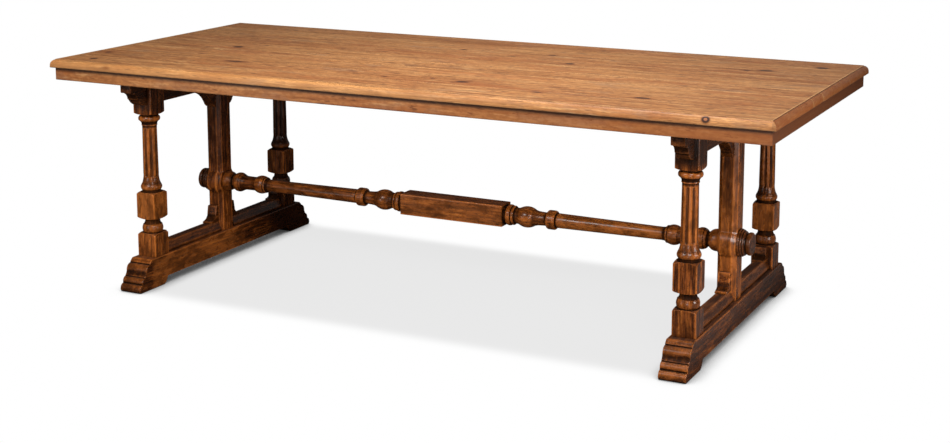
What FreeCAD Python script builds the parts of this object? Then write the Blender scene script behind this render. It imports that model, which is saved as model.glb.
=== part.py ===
import FreeCAD, Part
import math
import os
import re
from collections import namedtuple

import Sketcher

# A refectory table: a plank top with a moulded edge and a mitred apron stands on two trestles. Each
# trestle is a sled foot, two turned and fluted legs, a chamfered post with a round boss and a bearer.
# A turned stretcher joins the posts, with a finial over each tenon end.
# Frame: +X along the length, +Y from front to back, +Z up, origin on the floor under the middle.

SIZES = {
    # Whole table
    "top_length": 2438.4,
    "top_width": 1066.8,
    "table_height": 762.0,
    "end_overhang": 280.7,
    "leg_reach": 383.0,
    "stretcher_height": 276.0,
    # Top boards and their moulded edge
    "board_thickness": 28.0,
    "nose_run": 13.0,
    "nose_quirk": 1.6,
    "nose_tip": 8.7,
    "nose_under": 5.0,
    "tongue_depth": 7.0,
    "tongue_thickness": 8.0,
    # Apron
    "apron_setback": 12.8,
    "apron_height": 41.0,
    "apron_thickness": 22.0,
    # Foot
    "foot_half": 510.0,
    "foot_width": 82.0,
    "foot_height": 100.0,
    "toe_run": 65.0,
    "pad_length": 134.0,
    "arch_height": 25.0,
    "arch_slant": 13.0,
    # Legs
    "leg_blank": 72.0,
    "plinth_height": 78.5,
    "lower_turning": 47.0,
    "middle_block": 91.0,
    "upper_turning": 262.0,
    "shoulder_drop": 14.0,
    "leg_tenon_radius": 22.0,
    "leg_tenon_depth": 60.0,
    "flute_radius": 6.5,
    "flute_axis": 28.1,
    "flute_low": 49.0,
    "flute_high": 216.0,
    # Posts
    "post_thickness": 60.0,
    "post_depth": 78.0,
    "post_chamfer": 13.0,
    "boss_radius": 55.0,
    "boss_fillet": 8.0,
    "post_tenon_width": 24.0,
    "post_tenon_depth": 40.0,
    "post_tenon_length": 45.0,
    # Bearers and their corbel ends
    "bearer_width": 41.0,
    "bearer_height": 120.0,
    "corbel_run": 79.0,
    "corbel_drop": 50.0,
    # Rails on the foot
    "rail_width": 52.0,
    "rail_height": 34.0,
    "rail_side": 8.0,
    "rail_crown": 32.0,
    # Knees and brackets
    "knee_width": 37.0,
    "knee_run": 46.0,
    "post_knee_height": 58.0,
    "leg_knee_height": 40.0,
    "bracket_width": 37.0,
    "bracket_run": 84.0,
    "bracket_height": 69.0,
    # Stretcher and finials
    "stretcher_block": 70.0,
    "stretcher_block_length": 372.0,
    "block_bevel": 3.0,
    "vase_run": 188.5,
    "rod_thick_radius": 23.8,
    "rod_thin_radius": 20.6,
    "cup_run": 186.5,
    "cup_radius": 34.5,
    "stretcher_tenon_radius": 20.0,
    "finial_run": 41.0,
    "finial_radius": 43.5,
    "finial_socket": 12.0,
    # Screws that hold the top on the bearers
    "screw_length": 52.0,
    "screw_radius": 2.5,
    "screw_head_radius": 5.0,
    "screw_head_height": 3.0,
    "screw_bite": 18.0,
    "counterbore_radius": 8.0,
    # Fits and cuts
    "joint_clearance": 0.2,
    "overrun": 10.0,
}

# Widths of the boards from front to back, each a share of the top's width
BOARD_WIDTH_SHARES = (0.133, 0.115, 0.110, 0.104, 0.111, 0.095, 0.095, 0.117, 0.120)

# Places of the screws along half a bearer, each a share of the span from the post to the leg
SCREW_PLACE_SHARES = (0.29, 0.55, 0.86)

FLUTES_PER_LEG = 8

# Degrees that some round runs turn: the rim's upper and lower round, and a square's lathe shoulder
RIM_TURN = 84
UNDER_RIM_TURN = 64
SHOULDER_TURN = 48

# Toe moulding of the foot, from the floor up. Each row is a share of the toe's run inwards from the
# end, a share of the foot's height, and the degrees that the edge turns on the way to the next row.
TOE_SHARES = (
    (0.06, 0.00, 60),
    (0.00, 0.06, 0),
    (0.00, 0.13, 88),
    (0.215, 0.265, 0),
    (0.20, 0.305, 78),
    (0.37, 0.47, 0),
    (0.40, 0.47, 0),
    (0.40, 0.50, -50),
    (0.52, 0.66, 80),
    (0.77, 0.86, 0),
    (0.82, 0.86, 0),
    (0.82, 0.90, 0),
    (1.00, 1.00, 0),
)

# Turned stretches, from the top down. Each row is a share of the stretch's height, a share of half
# the blank, and the degrees that the edge turns on the way to the next row.
LOWER_TURNING_SHARES = (
    (0.96, 0.70, 0),
    (0.88, 0.69, 52),
    (0.58, 0.85, 0),
    (0.58, 0.88, 0),
    (0.53, 0.88, -57),
    (0.05, 0.87, 0),
    (0.04, 0.83, 0),
)
UPPER_TURNING_SHARES = (
    (0.992, 0.80, 0),
    (0.985, 0.80, -106),
    (0.920, 0.93, 58),
    (0.872, 0.70, 0),
    (0.868, 0.72, 0),
    (0.856, 0.72, 0),
    (0.852, 0.665, 0),
    (0.235, 0.71, 28),
    (0.104, 0.86, 0),
    (0.104, 0.89, 0),
    (0.096, 0.89, -83),
    (0.030, 0.88, 0),
    (0.024, 0.86, 0),
)

# Corbel under the end of a bearer, from the leg outwards: shares of its run and of its drop
CORBEL_SHARES = (
    (0.00, 0.00, 66),
    (0.53, 0.44, 0),
    (0.58, 0.46, -62),
    (0.80, 0.92, 0),
    (0.80, 1.00, 0),
    (1.00, 1.00, 0),
)

# Knee, up its outer edge: shares of its run and of its height
KNEE_SHARES = (
    (1.00, 0.00, 0),
    (1.00, 0.11, 0),
    (0.93, 0.13, -64),
    (0.41, 0.42, 0),
    (0.28, 1.00, 0),
)

# Post bracket, from the post outwards and up: shares of its run and of its height
BRACKET_SHARES = (
    (0.00, 0.00, 64),
    (0.26, 0.29, 0),
    (0.29, 0.29, 0),
    (0.29, 0.32, -44),
    (0.93, 0.88, 0),
    (1.00, 0.88, 0),
    (1.00, 1.00, 0),
)

# Turning next to the stretcher's block, from the rod towards the block: shares of its run from the
# block's end and of half the block
VASE_SHARES = (
    (0.987, 0.669, 0),
    (0.977, 0.640, 0),
    (0.958, 0.640, 0),
    (0.955, 0.789, 60),
    (0.927, 0.889, 0),
    (0.828, 0.889, 60),
    (0.800, 0.789, 0),
    (0.797, 0.646, 0),
    (0.777, 0.617, -4),
    (0.637, 0.651, -16),
    (0.554, 0.760, 63),
    (0.289, 0.811, -22),
    (0.228, 0.740, 0),
    (0.210, 0.726, 0),
    (0.194, 0.749, 0),
    (0.191, 0.840, 82),
    (0.152, 0.874, 0),
    (0.147, 0.840, 0),
    (0.139, 0.846, 0),
    (0.135, 0.909, 66),
    (0.061, 0.931, 0),
    (0.057, 0.840, 0),
    (0.021, 0.800, 0),
)

# Turning next to the post, from the post towards the rod: shares of its run from the post's face and
# of the cup's radius
CUP_SHARES = (
    (0.000, 0.974, 16),
    (0.070, 0.997, 32),
    (0.145, 0.849, 0),
    (0.148, 0.809, 0),
    (0.160, 0.788, -46),
    (0.190, 0.664, 0),
    (0.205, 0.664, 0),
    (0.212, 0.719, 0),
    (0.216, 0.774, 18),
    (0.250, 0.910, 0),
    (0.254, 0.881, 0),
    (0.261, 0.904, 0),
    (0.265, 0.948, 37),
    (0.349, 0.948, 0),
    (0.352, 0.907, 0),
    (0.359, 0.896, 0),
    (0.362, 0.910, 18),
    (0.399, 0.806, -24),
    (0.493, 0.699, 0),
    (0.636, 0.687, -20),
    (0.711, 0.788, 0),
    (0.714, 0.817, 51),
    (0.875, 0.829, 0),
    (0.879, 0.771, 0),
    (0.888, 0.765, 0),
    (0.891, 0.800, 62),
    (0.917, 0.765, 0),
    (0.921, 0.690, 0),
    (0.938, 0.661, 0),
    (0.952, 0.620, 0),
)

# Finial, from the post outwards: shares of its run and of its base radius
FINIAL_SHARES = (
    (0.000, 0.975, -66),
    (0.195, 0.979, 0),
    (0.215, 0.933, 0),
    (0.239, 0.929, 0),
    (0.254, 0.952, -56),
    (0.361, 0.901, 0),
    (0.376, 0.855, 0),
    (0.400, 0.851, 0),
    (0.415, 0.869, -56),
    (0.517, 0.818, 0),
    (0.532, 0.777, 0),
    (0.585, 0.745, 0),
    (0.600, 0.685, 0),
    (0.659, 0.685, 0),
    (0.673, 0.749, -62),
    (0.829, 0.811, 0),
    (0.917, 0.805, -74),
    (1.000, 0.713, 0),
)

Corner = namedtuple("Corner", "across up turn", defaults=(0,))
WORD = re.compile(r"[a-z][a-z_]*")

doc = FreeCAD.newDocument("refectory_table")
sheet = doc.addObject("Spreadsheet::Sheet", "Sizes")
for row, (alias, value) in enumerate(SIZES.items(), start=1):
    sheet.set(f"A{row}", alias)
    sheet.set(f"B{row}", str(value))
    sheet.setAlias(f"B{row}", alias)
doc.recompute()

# Levels and faces that several pieces share, in the sheet's words
UNDERSIDE = "(table_height - board_thickness)"
TRESTLE_REACH = "(top_length/2 - end_overhang)"
BEARER_LEVEL = f"({UNDERSIDE} - bearer_height)"
LEG_FACE_IN = "(leg_reach - leg_blank/2)"
LEG_FACE_OUT = "(leg_reach + leg_blank/2)"
POST_FACE = "(post_depth/2)"
RAIL_TOP = "(foot_height + rail_height)"
LATHE_CLEAR = "(leg_blank/sqrt(2) + overrun)"
TRESTLES = {"left": -1, "right": 1}
SIDES = {"front": -1, "back": 1}


def bound(text):
    """The expression with each of the sheet's words tied to the sheet."""
    def tie(match):
        word = match.group()
        return f"Sizes.{word}" if word in SIZES else word
    return WORD.sub(tie, text)


def size(text):
    """The value of an expression in the sheet's words."""
    return float(sheet.evalExpression(text))


def mirrored(corners):
    """The corners reflected across the sketch's upright axis."""
    flipped = [c.across if c.across == "0" else f"-({c.across})" for c in corners]
    return [Corner(across, c.up, -c.turn) for across, c in zip(flipped, corners)]


def backwards(corners):
    """The same edge walked the other way."""
    turns = [-c.turn for c in corners[:-1]]
    turns.reverse()
    return [Corner(c.across, c.up, turn) for c, turn in zip(reversed(corners), turns + [0])]


def both_sides(half):
    """A closed outline from its right half, walked from the bottom up."""
    return list(half) + backwards(mirrored(half))


def arc(start, end, degrees):
    """The arc from start to end that turns left by so many degrees, or right when they are negative."""
    chord = end.sub(start)
    half = math.radians(degrees) / 2
    centre = start + chord * 0.5 + FreeCAD.Vector(-chord.y, chord.x, 0) * (0.5 / math.tan(half))
    circle = Part.Circle(centre, FreeCAD.Vector(0, 0, 1), chord.Length / 2 / math.sin(abs(half)))
    first, last = (start, end) if degrees > 0 else (end, start)
    angles = [math.atan2(point.y - centre.y, point.x - centre.x) for point in (first, last)]
    return Part.ArcOfCircle(circle, *angles)


def plane(body, role):
    """One of the body's own origin planes or axes."""
    return next(f for f in body.Origin.OriginFeatures if f.Role == role)


def new_body(label):
    """An empty body whose label is its node's name."""
    body = doc.addObject("PartDesign::Body", label)
    body.Label = label
    return body


def new_sketch(body, role, lift="", shift=""):
    """A sketch on an origin plane, raised along its normal or shifted along its first axis."""
    sketch = body.newObject("Sketcher::SketchObject", f"{body.Name}_sketch")
    sketch.AttachmentSupport = [(plane(body, role), "")]
    sketch.MapMode = "FlatFace"
    if lift:
        sketch.setExpression("AttachmentOffset.Base.z", bound(lift))
    if shift:
        sketch.setExpression("AttachmentOffset.Base.x", bound(shift))
    return sketch


def constrain(sketch, rules):
    """Adds the constraints at once and ties those that carry an expression to the sheet."""
    numbers = sketch.addConstraint([rule for rule, _ in rules])
    for number, (_, text) in zip(numbers, rules):
        if text:
            sketch.setExpression(f"Constraints[{number}]", bound(text))


def held(index, end, across, up):
    """The rules that hold one point of a sketch at its place from the origin."""
    rules = []
    for kind, axis, text in (("DistanceX", -2, across), ("DistanceY", -1, up)):
        if text == "0":
            rules.append((Sketcher.Constraint("PointOnObject", index, end, axis), ""))
        else:
            rules.append((Sketcher.Constraint(kind, -1, 1, index, end, size(text)), text))
    return rules


def trace(sketch, outline):
    """Draws one closed outline of straight and round runs, every corner held by the sheet."""
    points = [FreeCAD.Vector(size(c.across), size(c.up), 0) for c in outline]
    ends = []
    for corner, start, end in zip(outline, points, points[1:] + points[:1]):
        edge = arc(start, end, corner.turn) if corner.turn else Part.LineSegment(start, end)
        index = sketch.addGeometry(edge)
        ends.append((index, 2, 1) if corner.turn < 0 else (index, 1, 2))
    rules = []
    for corner, here, after in zip(outline, ends, ends[1:] + ends[:1]):
        rules.append((Sketcher.Constraint("Coincident", here[0], here[2], after[0], after[1]), ""))
        rules.extend(held(here[0], here[1], corner.across, corner.up))
        if corner.turn:
            span = math.radians(abs(corner.turn))
            rules.append((Sketcher.Constraint("Angle", here[0], span), ""))
    constrain(sketch, rules)
    return sketch


def ring(sketch, across, up, radius):
    """Draws one circle, its centre and radius held by the sheet."""
    centre = FreeCAD.Vector(size(across), size(up), 0)
    index = sketch.addGeometry(Part.Circle(centre, FreeCAD.Vector(0, 0, 1), size(radius)))
    rules = held(index, 3, across, up)
    rules.append((Sketcher.Constraint("Radius", index, size(radius)), radius))
    constrain(sketch, rules)
    return sketch


def rectangle(across_low, across_high, up_low, up_high):
    """The four corners of a rectangle, from its lower left one."""
    return [
        Corner(across_low, up_low),
        Corner(across_high, up_low),
        Corner(across_high, up_high),
        Corner(across_low, up_high),
    ]


def centred(width, depth):
    """A rectangle about the origin."""
    return rectangle(f"-{width}/2", f"{width}/2", f"-{depth}/2", f"{depth}/2")


def pad(body, sketch, length, symmetric=False, downwards=False):
    """Adds the sketch's outline to the body as a straight run."""
    feature = body.newObject("PartDesign::Pad", f"{body.Name}_pad")
    feature.Profile = sketch
    feature.setExpression("Length", bound(length))
    feature.SideType = "Symmetric" if symmetric else "One side"
    feature.Reversed = downwards
    return feature


def pocket(body, sketch, depth, symmetric=False, upwards=False):
    """Cuts the sketch's outline out of the body as a straight run."""
    feature = body.newObject("PartDesign::Pocket", f"{body.Name}_pocket")
    feature.Profile = sketch
    feature.setExpression("Length", bound(depth))
    feature.SideType = "Symmetric" if symmetric else "One side"
    feature.Reversed = upwards
    return feature


def turn(body, kind, sketch, axis):
    """Adds or cuts a full turn of the sketch about one of its own axes."""
    feature = body.newObject(f"PartDesign::{kind}", f"{body.Name}_{kind.lower()}")
    feature.Profile = sketch
    feature.ReferenceAxis = (sketch, [axis])
    feature.Angle = 360
    return feature


def place(body, across, depth, level, degrees=0):
    """Puts a body at its place, turned by so many degrees about its upright axis."""
    rotation = FreeCAD.Rotation(FreeCAD.Vector(0, 0, 1), degrees)
    body.Placement = FreeCAD.Placement(FreeCAD.Vector(), rotation)
    for letter, text in zip("xyz", (across, depth, level)):
        body.setExpression(f"Placement.Base.{letter}", bound(text))


def nosing(edge, inward):
    """The moulded edge from the top surface down: a quirk, a thumb round and a small round under."""
    sign = "+" if inward > 0 else "-"
    return [
        Corner(f"{edge} {sign} nose_run", "board_thickness"),
        Corner(f"{edge} {sign} nose_run", "board_thickness - nose_quirk", inward * RIM_TURN),
        Corner(edge, "nose_tip", inward * UNDER_RIM_TURN),
        Corner(f"{edge} {sign} nose_under", "0"),
    ]


def groove_edge(edge):
    """The grooved front edge of a board, from the top surface down."""
    half = "(tongue_thickness/2 + joint_clearance)"
    deep = f"{edge} + tongue_depth + joint_clearance"
    return [
        Corner(edge, "board_thickness"),
        Corner(edge, f"board_thickness/2 + {half}"),
        Corner(deep, f"board_thickness/2 + {half}"),
        Corner(deep, f"board_thickness/2 - {half}"),
        Corner(edge, f"board_thickness/2 - {half}"),
        Corner(edge, "0"),
    ]


def tongue_edge(edge):
    """The tongued back edge of a board, from the underside up."""
    return [
        Corner(edge, "0"),
        Corner(edge, "board_thickness/2 - tongue_thickness/2"),
        Corner(f"{edge} + tongue_depth", "board_thickness/2 - tongue_thickness/2"),
        Corner(f"{edge} + tongue_depth", "board_thickness/2 + tongue_thickness/2"),
        Corner(edge, "board_thickness/2 + tongue_thickness/2"),
        Corner(edge, "board_thickness"),
    ]


def build_boards():
    """The top: boards along the length, tongued and grooved, with one moulding round the rim."""
    last = len(BOARD_WIDTH_SHARES) - 1
    whole = sum(BOARD_WIDTH_SHARES)
    end_cut = nosing("top_length/2", -1) + [
        Corner("top_length/2 - nose_under", "-overrun"),
        Corner("top_length/2 + overrun", "-overrun"),
        Corner("top_length/2 + overrun", "board_thickness + overrun"),
        Corner("top_length/2 - nose_run", "board_thickness + overrun"),
    ]
    for number in range(last + 1):
        front_share = sum(BOARD_WIDTH_SHARES[:number]) / whole - 0.5
        back_share = sum(BOARD_WIDTH_SHARES[:number + 1]) / whole - 0.5
        front = f"{front_share:.6f}*top_width"
        back = f"{back_share:.6f}*top_width"
        front_edge = nosing(front, 1) if number == 0 else groove_edge(front)
        back_edge = backwards(nosing(back, -1)) if number == last else tongue_edge(back)
        board = new_body(f"top_board_{number + 1}")
        pad(board, trace(new_sketch(board, "YZ_Plane"), front_edge + back_edge), "top_length", True)
        ends = trace(new_sketch(board, "XZ_Plane"), end_cut)
        trace(ends, backwards(mirrored(end_cut)))
        pocket(board, ends, "2*top_width", True)
        screws = [text for text in screw_places() if size(front) < size(text) < size(back)]
        if screws:
            pilots = new_sketch(board, "XY_Plane")
            for text in screws:
                for sign in TRESTLES.values():
                    ring(pilots, f"{sign}*{TRESTLE_REACH}", text, "screw_radius + joint_clearance")
            pocket(board, pilots, "screw_bite + joint_clearance", upwards=True)
        place(board, "0", "0", UNDERSIDE)


def build_apron(side, quarter_turns):
    """One mitred rail of the skirt under the rim of the top, its outer face on its own origin plane."""
    halves = ["(top_length/2 - apron_setback)", "(top_width/2 - apron_setback)"]
    half_length, reach = halves if quarter_turns % 2 == 0 else halves[::-1]
    half = [Corner(half_length, "0"), Corner(f"{half_length} - apron_thickness", "apron_thickness")]
    apron = new_body(f"{side}_apron")
    pad(apron, trace(new_sketch(apron, "XY_Plane"), both_sides(half)), "apron_height")
    across, depth = ((0, -1), (1, 0), (0, 1), (-1, 0))[quarter_turns]
    level = f"{UNDERSIDE} - apron_height"
    place(apron, f"{across}*{reach}", f"{depth}*{reach}", level, 90 * quarter_turns)


def post_mortise():
    """The outline of the mortise for a post's tenon."""
    return centred("(post_tenon_width + 2*joint_clearance)", "(post_tenon_depth + 2*joint_clearance)")


def build_foot(side, sign):
    """A sled foot: moulded toes, two pads, an arch between them, and the mortises on top."""
    half = [
        Corner("foot_half - pad_length - arch_slant", "arch_height"),
        Corner("foot_half - pad_length", "0"),
    ]
    half += [Corner(f"foot_half - {i}*toe_run", f"{u}*foot_height", t) for i, u, t in TOE_SHARES]
    foot = new_body(f"{side}_foot")
    pad(foot, trace(new_sketch(foot, "YZ_Plane"), both_sides(half)), "foot_width", True)
    leg_holes = new_sketch(foot, "XY_Plane", lift="foot_height")
    for way in SIDES.values():
        ring(leg_holes, "0", f"{way}*leg_reach", "leg_tenon_radius + joint_clearance")
    pocket(foot, leg_holes, "leg_tenon_depth + joint_clearance")
    post_hole = trace(new_sketch(foot, "XY_Plane", lift="foot_height"), post_mortise())
    pocket(foot, post_hole, "post_tenon_length + joint_clearance")
    place(foot, f"{sign}*{TRESTLE_REACH}", "0", "0")


def lathe_cut(shares, low, height):
    """What the lathe takes off between two squares, with a rounded shoulder on each square."""
    turned = [Corner(f"{r}*leg_blank/2", f"{low} + {u}*{height}", t) for u, r, t in shares]
    return [
        Corner(turned[-1].across, low, -SHOULDER_TURN),
        Corner(LATHE_CLEAR, f"{low} - shoulder_drop"),
        Corner(LATHE_CLEAR, f"{low} + {height} + shoulder_drop", -SHOULDER_TURN),
        Corner(turned[0].across, f"{low} + {height}"),
    ] + turned


def build_leg(side, place_name, sign, way):
    """A leg: square blank, turned between the squares, fluted shaft, tenon and bridle slot."""
    leg = new_body(f"{side}_{place_name}_leg")
    length = f"({UNDERSIDE} - foot_height)"
    blank = new_sketch(leg, "XY_Plane", lift="-leg_tenon_depth")
    pad(leg, trace(blank, centred("leg_blank", "leg_blank")), f"{length} + leg_tenon_depth")
    cuts = new_sketch(leg, "XZ_Plane")
    trace(cuts, lathe_cut(LOWER_TURNING_SHARES, "plinth_height", "lower_turning"))
    upper_low = "(plinth_height + lower_turning + middle_block)"
    trace(cuts, lathe_cut(UPPER_TURNING_SHARES, upper_low, "upper_turning"))
    trace(cuts, rectangle("leg_tenon_radius", LATHE_CLEAR, "-leg_tenon_depth - overrun", "0"))
    turn(leg, "Groove", cuts, "V_Axis")
    flute = new_sketch(leg, "XZ_Plane", shift="flute_axis")
    trace(flute, [
        Corner("0", f"{upper_low} + flute_low", 90),
        Corner("flute_radius", f"{upper_low} + flute_low + flute_radius"),
        Corner("flute_radius", f"{upper_low} + flute_high - flute_radius", 90),
        Corner("0", f"{upper_low} + flute_high"),
    ])
    first_flute = turn(leg, "Groove", flute, "V_Axis")
    doc.recompute()
    flutes = leg.newObject("PartDesign::PolarPattern", f"{leg.Name}_flutes")
    flutes.Originals = [first_flute]
    flutes.Axis = (plane(leg, "Z_Axis"), [""])
    flutes.Angle = 360
    flutes.Occurrences = FLUTES_PER_LEG
    leg.Tip = flutes
    slot = trace(new_sketch(leg, "XZ_Plane"), rectangle(
        "-(bearer_width/2 + joint_clearance)", "bearer_width/2 + joint_clearance",
        f"{BEARER_LEVEL} - foot_height", f"{length} + overrun"))
    pocket(leg, slot, "2*leg_blank", True)
    place(leg, f"{sign}*{TRESTLE_REACH}", f"{way}*leg_reach", "foot_height")


def build_post(side, sign):
    """A centre post: chamfered board that swells into a round boss, with a tenon at each end."""
    top = f"({BEARER_LEVEL} - foot_height)"
    boss = "(stretcher_height - foot_height)"
    reach = f"sqrt((boss_radius + boss_fillet)^2 - ({POST_FACE} + boss_fillet)^2)"
    meet = f"({reach}*boss_radius/(boss_radius + boss_fillet))"
    wide = f"(({POST_FACE} + boss_fillet)*boss_radius/(boss_radius + boss_fillet))"
    fillet_turn = math.degrees(math.atan2(size(reach), size(f"{POST_FACE} + boss_fillet")))
    half = [
        Corner(POST_FACE, "0"),
        Corner(POST_FACE, f"{boss} - {reach}", -fillet_turn),
        Corner(wide, f"{boss} - {meet}", 2 * fillet_turn),
        Corner(wide, f"{boss} + {meet}", -fillet_turn),
        Corner(POST_FACE, f"{boss} + {reach}"),
        Corner(POST_FACE, top),
    ]
    post = new_body(f"{side}_post")
    board = pad(post, trace(new_sketch(post, "YZ_Plane"), both_sides(half)), "post_thickness", True)
    doc.recompute()
    rises = [abs(edge.Vertexes[-1].Z - edge.Vertexes[0].Z) for edge in board.Shape.Edges]
    least_rise = size("joint_clearance")
    arrises = [f"Edge{number}" for number, rise in enumerate(rises, start=1) if rise > least_rise]
    chamfer = post.newObject("PartDesign::Chamfer", f"{post.Name}_chamfer")
    chamfer.Base = (board, arrises)
    chamfer.setExpression("Size", bound("post_chamfer"))
    tenon = centred("post_tenon_width", "post_tenon_depth")
    pad(post, trace(new_sketch(post, "XY_Plane"), tenon), "post_tenon_length", downwards=True)
    pad(post, trace(new_sketch(post, "XY_Plane", lift=top), tenon), "post_tenon_length")
    bore = ring(new_sketch(post, "YZ_Plane"), "0", boss, "stretcher_tenon_radius + joint_clearance")
    pocket(post, bore, "2*post_thickness", True)
    place(post, f"{sign}*{TRESTLE_REACH}", "0", "foot_height")


def screw_places():
    """The screws' places along a bearer, from front to back."""
    span = f"({LEG_FACE_IN} - {POST_FACE})"
    half = [f"{POST_FACE} + {share}*{span}" for share in SCREW_PLACE_SHARES]
    return [f"-({text})" for text in reversed(half)] + half


def build_bearer(side, sign):
    """A bearer: board on edge with a corbel at each end, mortised for the post and bored for screws."""
    half = [Corner(f"{LEG_FACE_OUT} + {o}*corbel_run", f"{u}*corbel_drop", t) for o, u, t in CORBEL_SHARES]
    half.append(Corner(f"{LEG_FACE_OUT} + corbel_run", "bearer_height"))
    bearer = new_body(f"{side}_bearer")
    pad(bearer, trace(new_sketch(bearer, "YZ_Plane"), both_sides(half)), "bearer_width", True)
    post_hole = trace(new_sketch(bearer, "XY_Plane"), post_mortise())
    pocket(bearer, post_hole, "post_tenon_length + joint_clearance", upwards=True)
    wide = new_sketch(bearer, "XY_Plane")
    narrow = new_sketch(bearer, "XY_Plane")
    for text in screw_places():
        ring(wide, "0", text, "counterbore_radius")
        ring(narrow, "0", text, "screw_radius + joint_clearance")
    pocket(bearer, wide, "bearer_height + screw_bite - screw_length", upwards=True)
    pocket(bearer, narrow, "bearer_height + overrun", upwards=True)
    place(bearer, f"{sign}*{TRESTLE_REACH}", "0", BEARER_LEVEL)


def build_rail(side, place_name, sign, way):
    """A bevelled strip on the foot, from the leg's plinth to the post."""
    half = [
        Corner("rail_width/2", "0"),
        Corner("rail_width/2", "rail_side"),
        Corner("rail_crown/2", "rail_height"),
    ]
    length = f"({LEG_FACE_IN} - {POST_FACE})"
    rail = new_body(f"{side}_{place_name}_rail")
    pad(rail, trace(new_sketch(rail, "XZ_Plane"), both_sides(half)), length, True)
    place(rail, f"{sign}*{TRESTLE_REACH}", f"{way}*({LEG_FACE_IN} + {POST_FACE})/2", "foot_height")


def build_block(name, shares, run, height, width, placing):
    """A small shaped block that stands against an upright face, its back at the origin plane."""
    outline = [Corner(f"{o}*{run}", f"{u}*{height}", t) for o, u, t in shares]
    outline.append(Corner("0", height))
    if shares[0][0]:
        outline.append(Corner("0", "0"))
    block = new_body(name)
    pad(block, trace(new_sketch(block, "YZ_Plane"), outline), width, True)
    place(block, *placing)


def build_blocks(side, place_name, sign, way):
    """The two knees and the bracket on one side of a post."""
    across = f"{sign}*{TRESTLE_REACH}"
    name = f"{side}_{place_name}"
    from_post, from_leg = (180, 0) if way < 0 else (0, 180)
    build_block(f"{name}_post_knee", KNEE_SHARES, "knee_run", "post_knee_height", "knee_width",
                (across, f"{way}*{POST_FACE}", RAIL_TOP, from_post))
    build_block(f"{name}_leg_knee", KNEE_SHARES, "knee_run", "leg_knee_height", "knee_width",
                (across, f"{way}*{LEG_FACE_IN}", RAIL_TOP, from_leg))
    build_block(f"{name}_bracket", BRACKET_SHARES, "bracket_run", "bracket_height", "bracket_width",
                (across, f"{way}*{POST_FACE}", f"{BEARER_LEVEL} - bracket_height", from_post))


def build_stretcher():
    """The stretcher: a square block in the middle, turned on both sides, a round tenon at each end."""
    inner = f"({TRESTLE_REACH} - post_thickness/2)"
    tip = f"({TRESTLE_REACH} + post_thickness/2 + finial_socket - joint_clearance)"
    block_end = "stretcher_block_length/2"
    half = [
        Corner(tip, "0"),
        Corner(tip, "stretcher_tenon_radius"),
        Corner(inner, "stretcher_tenon_radius"),
    ]
    half += [Corner(f"{inner} - {i}*cup_run", f"{r}*cup_radius", t) for i, r, t in CUP_SHARES]
    half += [
        Corner(f"{inner} - cup_run", "rod_thin_radius"),
        Corner(f"{block_end} + vase_run", "rod_thick_radius"),
    ]
    half += [Corner(f"{block_end} + {o}*vase_run", f"{r}*stretcher_block/2", t) for o, r, t in VASE_SHARES]
    core = f"{VASE_SHARES[-1][1]}*stretcher_block/2"
    half += [Corner("0", core), Corner("0", "0")]
    stretcher = new_body("stretcher")
    for outline in (half, backwards(mirrored(half))):
        turn(stretcher, "Revolution", trace(new_sketch(stretcher, "XZ_Plane"), outline), "H_Axis")
    square = [
        Corner("stretcher_block/2 - block_bevel", "-stretcher_block/2"),
        Corner("stretcher_block/2", "-stretcher_block/2 + block_bevel"),
        Corner("stretcher_block/2", "stretcher_block/2 - block_bevel"),
        Corner("stretcher_block/2 - block_bevel", "stretcher_block/2"),
    ]
    block = trace(new_sketch(stretcher, "YZ_Plane"), both_sides(square))
    pad(stretcher, block, "stretcher_block_length", True)
    place(stretcher, "0", "0", "stretcher_height")


def build_finial(side, sign):
    """A turned finial on the outside of the post, its socket over the end of the stretcher's tenon."""
    edge = [Corner(f"{o}*finial_run", f"{r}*finial_radius", t) for o, r, t in FINIAL_SHARES]
    socket = "stretcher_tenon_radius + joint_clearance"
    outline = [
        Corner("finial_socket", "0"),
        Corner("finial_run", "0"),
    ] + backwards(edge) + [
        Corner("0", socket),
        Corner("finial_socket", socket),
    ]
    finial = new_body(f"{side}_finial")
    turn(finial, "Revolution", trace(new_sketch(finial, "XZ_Plane"), outline), "H_Axis")
    place(finial, f"{sign}*({TRESTLE_REACH} + post_thickness/2)", "0", "stretcher_height",
          180 if sign < 0 else 0)


def build_screws():
    """The screws up through the bearers: one group of separate solids, each head in its counterbore."""
    seat = size(f"{BEARER_LEVEL} + bearer_height + screw_bite - screw_length")
    profile = Part.makePolygon([FreeCAD.Vector(size(r), 0, size(z)) for r, z in (
        ("0", "-screw_head_height"),
        ("screw_head_radius", "-screw_head_height"),
        ("screw_head_radius", "0"),
        ("screw_radius", "0"),
        ("screw_radius", "screw_length - 2*screw_radius"),
        ("0", "screw_length"),
        ("0", "-screw_head_height"),
    )])
    screw = Part.Face(profile).revolve(FreeCAD.Vector(), FreeCAD.Vector(0, 0, 1), 360)
    solids = []
    for sign in TRESTLES.values():
        for text in screw_places():
            copy = screw.copy()
            copy.translate(FreeCAD.Vector(sign * size(TRESTLE_REACH), size(text), seat))
            solids.append(copy)
    group = doc.addObject("Part::Feature", "top_screws")
    group.Label = "top_screws"
    group.Shape = Part.makeCompound(solids)


def build_table():
    """Every piece of the table, in the order in which it goes together from the floor up."""
    for side, sign in TRESTLES.items():
        build_foot(side, sign)
        build_post(side, sign)
        build_bearer(side, sign)
        build_finial(side, sign)
        for place_name, way in SIDES.items():
            build_leg(side, place_name, sign, way)
            build_rail(side, place_name, sign, way)
            build_blocks(side, place_name, sign, way)
    build_stretcher()
    build_boards()
    for quarter_turns, side in enumerate(("front", "right", "back", "left")):
        build_apron(side, quarter_turns)
    build_screws()
    doc.recompute()


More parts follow.
